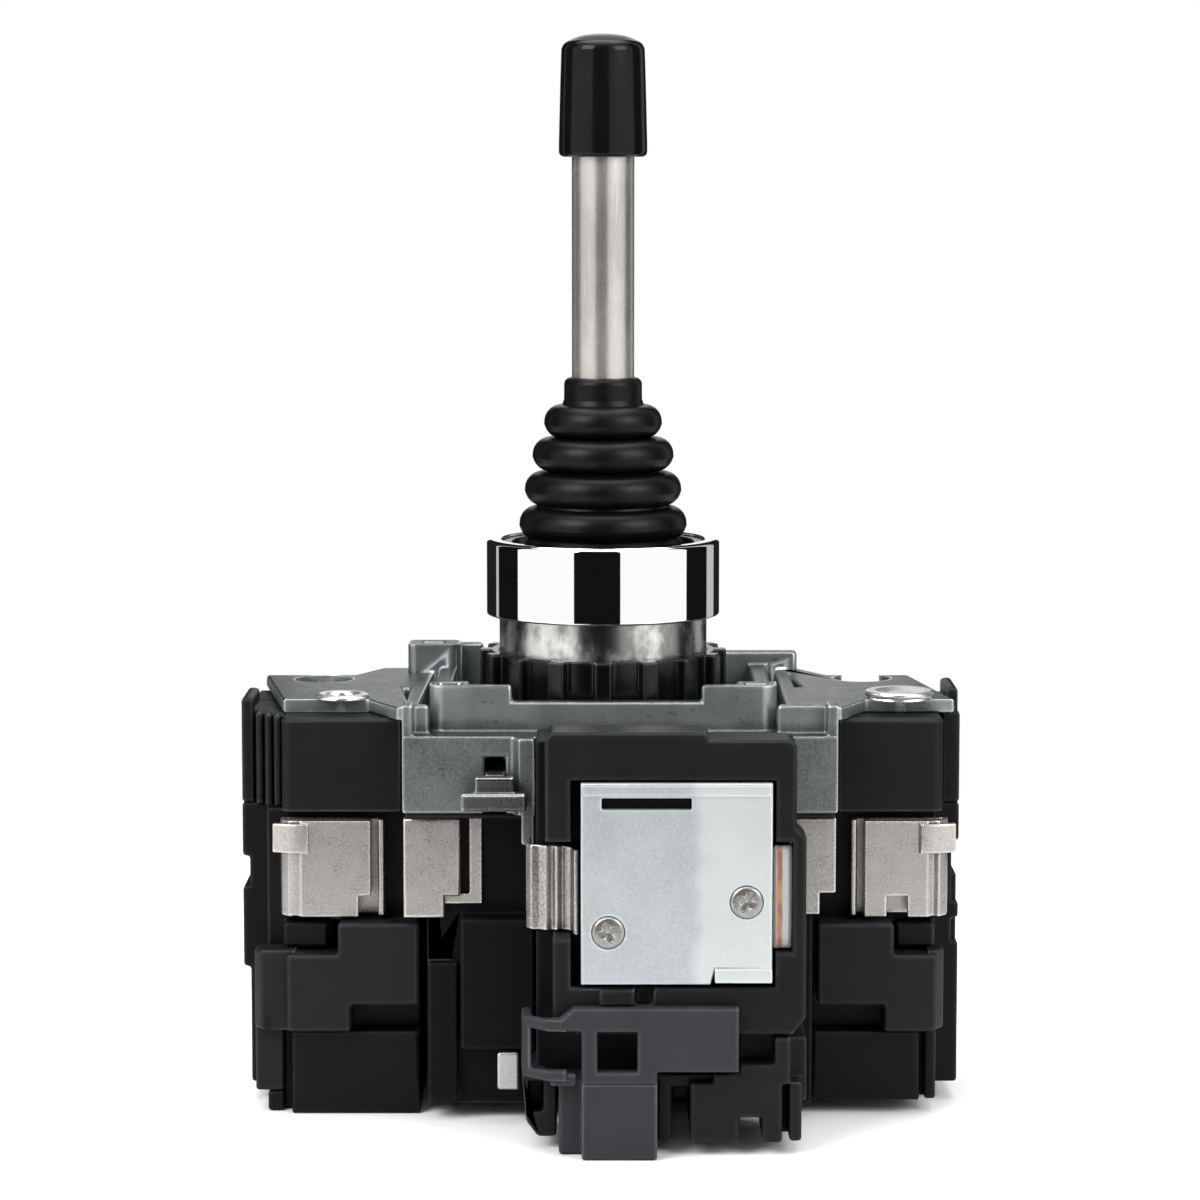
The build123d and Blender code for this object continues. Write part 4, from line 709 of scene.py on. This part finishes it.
bootUpper = lathe("bootUpper", upperOut, rubber, smoothAngle=60)
for piece, first, second, start, end in ((bootLower, "base", "gimbal", boot["bendFrom"], seam),
                                         (bootUpper, "gimbal", "lever", seam, boot["bendTo"])):
    start * mm
    end * mm
    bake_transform(piece)
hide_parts("boot")

bezel = {"radius": 15.0, "height": 9.8, "bore": 13.4, "lip": 13.1, "lipHeight": 1.6, "rounding": 0.55,
         "foot": 0.3, "bevel": 0.35}
bezelOutline = rounded(
    [(bezel["bore"], 0), (bezel["radius"], 0), (bezel["radius"], bezel["height"] - bezel["bevel"]),
     (bezel["radius"] - bezel["bevel"] * 1.6, bezel["height"]), (bezel["lip"], bezel["height"] - 0.05),
     (bezel["lip"], bezel["height"] - bezel["lipHeight"]),
     (bezel["bore"], bezel["height"] - bezel["lipHeight"])],
    [0, bezel["foot"], bezel["rounding"], bezel["rounding"], 0.25, 0, 0], 8)
keep(lathe("bezelRing", bezelOutline, chrome, around=192), "base", "chrome", "bezel")

insert = {"outer": 13.0, "mouth": 11.8, "bore": 10.4, "bottom": 6.0, "top": 9.4}
insertOutline = rounded(
    [(insert["bore"], insert["bottom"]), (insert["outer"], insert["bottom"]),
     (insert["outer"], insert["top"]), (insert["mouth"], insert["top"])],
    [0, 0, 0.3, 0.3], 4)
keep(lathe("insertRing", insertOutline, glossPlastic), "base", "black_plastic", "boot_retainer")

neckTube = {"radius": 13.35, "bore": 10.2, "top": 4.5, "bottom": -15.5}
neckOutline = rounded(
    [(neckTube["bore"], neckTube["bottom"]), (neckTube["radius"], neckTube["bottom"]),
     (neckTube["radius"], neckTube["top"]), (neckTube["bore"], neckTube["top"])],
    [0.2, 0.3, 0.4, 0.2], 3)
keep(lathe("neckSleeve", neckOutline, neckSteel, around=192), "base", "steel", "neck")
print("lever, boot and bezel made")

screw = {"radius": 1.95, "seat": 40.45, "face": 41.0, "skirt": 0.3, "domed": 0.35,
         "edge": 0.22, "edgeFrom": 0.86, "edgeWidth": 0.14,
         "slot": 0.34, "slotReach": 1.25, "slotDepth": 0.5, "slotRise": 0.45,
         "wallFrom": 1.25, "wall": 0.35, "endWall": 0.12,
         "places": ((0.6, -34.0, 20), (17.2, -30.3, 65))}


def screwHead(grown, x, z, turn, back):  # a low dome with a crossed recess
    around, rows = 64, 22
    side = -1 if back else 1
    c, s = math.cos(math.radians(turn)), math.sin(math.radians(turn))
    rings = []
    for i in range(rows + 1):
        r = screw["radius"] * i / rows
        ring = []
        for k in range(around if i else 1):
            a = 2 * math.pi * k / around
            u, v = r * math.cos(a), r * math.sin(a)
            share = r / screw["radius"]
            dome = (screw["face"] - screw["seat"]) * (1 - share ** 2 * screw["domed"])
            dome -= screw["edge"] * max(0, (share - screw["edgeFrom"]) / screw["edgeWidth"]) ** 2
            arm = min(abs(u), abs(v)) / screw["slot"]
            across = min(1, max(0, (screw["wallFrom"] - arm) / screw["wall"]))
            along = min(1, max(0, (screw["slotReach"] - r) / screw["endWall"]))
            cut = screw["slotDepth"] * (1 - screw["slotRise"] * r / screw["slotReach"])
            out = screw["seat"] + dome - across * along * cut
            ring.append(grown.verts.new((side * (x + u * c - v * s) * mm, -side * out * mm,
                                         (z + u * s + v * c) * mm)))
        rings.append(ring)
    foot = (screw["seat"] - screw["skirt"]) * mm
    base = [grown.verts.new((v.co.x, math.copysign(foot, v.co.y), v.co.z)) for v in rings[-1]]
    rings.append(base)
    for low, high in zip(rings, rings[1:]):
        for k in range(around):
            n = (k + 1) % around
            if len(low) == 1:
                grown.faces.new((low[0], high[k], high[n]))
            else:
                grown.faces.new((low[k], high[k], high[n], low[n]))
    grown.faces.new(base)


grown = bmesh.new()
for back in (False, True):
    for x, z, turn in screw["places"]:
        screwHead(grown, x, z, turn, back)
bmesh.ops.recalc_face_normals(grown, faces=grown.faces)
mesh = bpy.data.meshes.new("plateScrewHeads")
grown.to_mesh(mesh)
grown.free()
keep(link("plateScrewHeads", mesh, screwSteel, 50), "base", "bright_steel", "plate_screws")
print("screws made")

wing = {"top": -9.6, "eyelet": (-33.1, -10.2), "rivet": (37.6, -10.2)}
eyelet = {"radius": 3.5, "ring": 0.58, "mouth": 1.9, "depth": 1.5, "shank": 1.5, "bottom": -11.3}
rivet = {"radius": 4.4, "height": 1.0, "round": 0.42, "dish": 0.3, "dishRadius": 2.6, "shank": 1.5,
         "bottom": -11.3}
eyeletOutline = [(0, eyelet["bottom"]), (eyelet["shank"], eyelet["bottom"]),
                 (eyelet["shank"], wing["top"]), (eyelet["radius"], wing["top"])]
middle, half = (eyelet["radius"] + eyelet["mouth"]) / 2, (eyelet["radius"] - eyelet["mouth"]) / 2
for k in range(11):  # the rolled rim
    a = math.radians(180 * k / 10)
    eyeletOutline.append((middle + half * math.cos(a),
                          wing["top"] + 0.05 + (eyelet["ring"] - 0.05) * math.sin(a) ** 0.8))
eyeletOutline += [(eyelet["mouth"] - 0.04, wing["top"] - 0.2),
                  (eyelet["shank"] - 0.1, wing["top"] - eyelet["depth"] * 0.6),
                  (eyelet["shank"] - 0.1, wing["top"] - eyelet["depth"]),
                  (0, wing["top"] - eyelet["depth"])]
rivetOutline = [(0, rivet["bottom"]), (rivet["shank"], rivet["bottom"]), (rivet["shank"], wing["top"]),
                (rivet["radius"] - 0.12, wing["top"])]
for k in range(11):  # the rounded rim
    a = math.radians(-60 + 150 * k / 10)
    rivetOutline.append((rivet["radius"] - rivet["round"] * (1 - math.cos(a)),
                         wing["top"] + rivet["height"] - rivet["round"] * (1 - math.sin(a))))
rivetOutline += [(rivet["dishRadius"] + 0.5, wing["top"] + rivet["height"] - 0.04),
                 (rivet["dishRadius"], wing["top"] + rivet["height"] - rivet["dish"] * 0.5),
                 (rivet["dishRadius"] * 0.6, wing["top"] + rivet["height"] - rivet["dish"]),
                 (0, wing["top"] + rivet["height"] - rivet["dish"])]
heads = []
for name, outline, at in (("wingEyelet", eyeletOutline, wing["eyelet"]),
                          ("wingRivet", rivetOutline, wing["rivet"])):
    heads.append(lathe(name, outline, brightSteel, around=96, smoothAngle=50,
                       place=Matrix.Translation((at[0] * mm, at[1] * mm, 0))))
keep(heads[0], "base", "bright_steel", "wing_rivets")
keep(heads[1], "base", "bright_steel")
print("eyelet and rivet made")

# the other pieces keep the CAD form, most of them with rounded edges
bodyOf = {n: b for b, members in frame["record"]["behaviour"]["bodies"].items() for n in members}
slotOf = {s["node"]: s["material_slot"] for s in frame["record"]["subparts"]}
plainFinish = {"steel": rodSteel, "spring_steel": rodSteel, "white_plastic": whitePlastic,
               "copper": copperAlloy}
formOf = {  # end of the node's name: edge width in mm, finish
    "_cap": (0.45, capPlastic), "_cover": (0.4, coverPlastic), "_cage": (0.2, nickel),
    "_front_housing": (0.4, blackPlastic), "_back_housing": (0.4, blackPlastic),
    "_lower_housing": (0.4, lowerPlastic), "_frame": (0.55, capPlastic),
    "_plate": (0.18, plateZinc), "_clip": (0.2, clipNickel), "_strip": (0.16, stripNickel),
    "_release_tab": (0.3, tabZinc), "_latch": (0.35, latchZinc),
    "base_casting": (0.45, castZinc), "clamp_nut": (0.3, glossPlastic),
    "centre_body": (0.35, corePlastic), "inner_terminals": (0.16, nickel),
}
ownForm = {
    "front_housing": (0.4, corePlastic), "back_housing": (0.4, corePlastic),
    "front_cover": (0.4, slatePlastic), "back_cover": (0.4, slatePlastic),
}
plain = []
for node in sorted(frame["nodes"]):
    if frame["nodes"][node].hide_render:
        continue
    endings = [form for ending, form in formOf.items() if node.endswith(ending)]
    form = ownForm.get(node) or (endings[0] if endings else None)
    if form:
        softened(node, form[1], slotOf[node], bodyOf[node], form[0])
        continue
    for place in frame["nodes"][node].material_slots:
        place.material = plainFinish[slotOf[node]]
    plain.append(node)
print("forms softened; kept plain:", plain)


def studio():
    floorLook = {"size": 4.0, "height": -61.62, "seen": 1.15, "lit": 0.8, "mirrored": 0.8,
                 "fadeFrom": 0.07, "fadeTo": 0.22, "surroundFrom": 0.42, "surroundTo": 0.52}
    bpy.ops.mesh.primitive_grid_add(x_subdivisions=4, y_subdivisions=4, size=floorLook["size"],
                                    location=(0, 0, floorLook["height"] * mm))
    floor = bpy.context.object
    floor.name = "floor"
    f = Finish("floorPaper")
    # brighter to the camera, and white far out both to it and to reflections
    seen = f.node("ShaderNodeLightPath", out="Is Camera Ray")
    shade = f.blend(seen, (floorLook["lit"],) * 3, (floorLook["seen"],) * 3)
    mirrored = f.node("ShaderNodeLightPath", out="Is Glossy Ray")
    shade = f.blend(mirrored, shade, (floorLook["mirrored"],) * 3)
    shade = f.blend(f.mist(30, 4) * 0.03, shade, (0.9, 0.9, 0.9))
    flat = f.node("ShaderNodeVectorMath", {"operation": "MULTIPLY"}, in0=f.place, in1=(1, 1, 0))
    away = f.node("ShaderNodeVectorMath", {"operation": "LENGTH"}, out="Value", in0=flat)
    surround = f.ramp(away, floorLook["surroundFrom"], floorLook["surroundTo"]) * mirrored
    far = (f.ramp(away, floorLook["fadeFrom"], floorLook["fadeTo"]) * seen + surround).clamped()
    matt = f.node("ShaderNodeBsdfDiffuse", Color=shade)
    glow = f.node("ShaderNodeEmission", Color=(1, 1, 1))
    sheet = f.node("ShaderNodeMixShader", in0=far, in1=matt, in2=glow)
    f.tree.links.new(sheet.socket, f.output.inputs[0])
    floor.data.materials.append(f.material)

    world = bpy.data.worlds.new("studio")
    scene.world = world
    world.use_nodes = True
    w = Nodes(world.node_tree)
    rays = ("Is Camera Ray", "Is Glossy Ray", "Is Transmission Ray")
    camera, glossy, through = (w.node("ShaderNodeLightPath", out=ray) for ray in rays)
    level = 0.6 + 0.4 * glossy
    strength = (level * (1 - camera) * (1 - through) + camera + through).clamped()
    back = w.node("ShaderNodeBackground", Color=(1, 1, 1), Strength=strength)
    out = w.tree.nodes.new("ShaderNodeOutputWorld")
    w.tree.links.new(back.socket, out.inputs[0])

    # upright cards with a flat foot, which only reflections see: dark fields and lighter stripes
    # in the chrome, by first and last angle from the front and tone
    cards = {
        "front": (-28.0, 16.5, 0.006),
        "backRight": (88.5, 122.0, 0.006), "backLeft": (-123.5, -91.0, 0.006),
        "stripeRight": (122.0, 139.0, 0.5), "stripeLeft": (-129.0, -123.5, 0.5),
        "behindRight": (139.0, 168.0, 0.014), "behindLeft": (-168.0, -129.0, 0.014),
    }
    card = {"radius": 0.33, "foot": 0.17, "bottom": -0.061, "top": 0.42, "steps": 12}
    for name, (start, end, tone) in cards.items():
        ink = Finish(name + "Ink")
        dark = ink.node("ShaderNodeEmission", Color=(tone, tone, tone))
        ink.tree.links.new(dark.socket, ink.output.inputs[0])
        points, faces = [], []
        for k in range(card["steps"] + 1):
            a = math.radians(start + (end - start) * k / card["steps"])
            for radius, height in ((card["foot"], card["bottom"]), (card["radius"], card["bottom"]),
                                   (card["radius"], card["top"])):
                points.append((radius * math.sin(a), -radius * math.cos(a), height))
        for k in range(card["steps"]):
            for low in (3 * k, 3 * k + 1):
                faces.append((low, low + 3, low + 4, low + 1))
        mesh = bpy.data.meshes.new(name + "Card")
        mesh.from_pydata(points, [], faces)
        mesh.materials.append(ink.material)
        board = bpy.data.objects.new(name + "Card", mesh)
        scene.collection.objects.link(board)
        board.visible_camera = board.visible_diffuse = board.visible_shadow = False
        board.visible_transmission = board.visible_volume_scatter = False

    lamps = {
        "keyLeft": {"at": (-0.45, -0.45, 0.45), "size": 0.45, "power": 4.2},
        "fillRight": {"at": (0.5, -0.4, 0.35), "size": 0.4, "power": 2.6},
        "top": {"at": (0.0, 0.1, 0.7), "size": 0.6, "power": 3.6},
    }
    for name, lamp in lamps.items():
        light = bpy.data.lights.new(name, "AREA")
        light.size = lamp["size"]
        light.energy = lamp["power"]
        holder = bpy.data.objects.new(name, light)
        scene.collection.objects.link(holder)
        holder.location = lamp["at"]
        towards = Vector((0, 0, 0)) - Vector(lamp["at"])
        holder.rotation_euler = towards.to_track_quat("-Z", "Y").to_euler()


studio()

# fitted to the photo: a focal length of 4031 of its pixels
view = {"distance": 520.0, "elevation": math.asin(0.1097), "aimHeight": 1.7, "side": -0.39,
        "focal": 4031, "photo": 1200, "sensor": 36}
camera = bpy.data.cameras.new("camera")
camera.sensor_width = view["sensor"]
camera.lens = view["focal"] * view["sensor"] / view["photo"]
camera.clip_start, camera.clip_end = 0.05, 20
cameraHolder = bpy.data.objects.new("camera", camera)
scene.collection.objects.link(cameraHolder)
reach = view["distance"] * math.cos(view["elevation"])
lift = view["distance"] * math.sin(view["elevation"])
cameraHolder.location = (view["side"] * mm, -reach * mm, (view["aimHeight"] + lift) * mm)
cameraHolder.rotation_euler = (math.pi / 2 - view["elevation"], 0, 0)
scene.camera = cameraHolder
print("stage set")
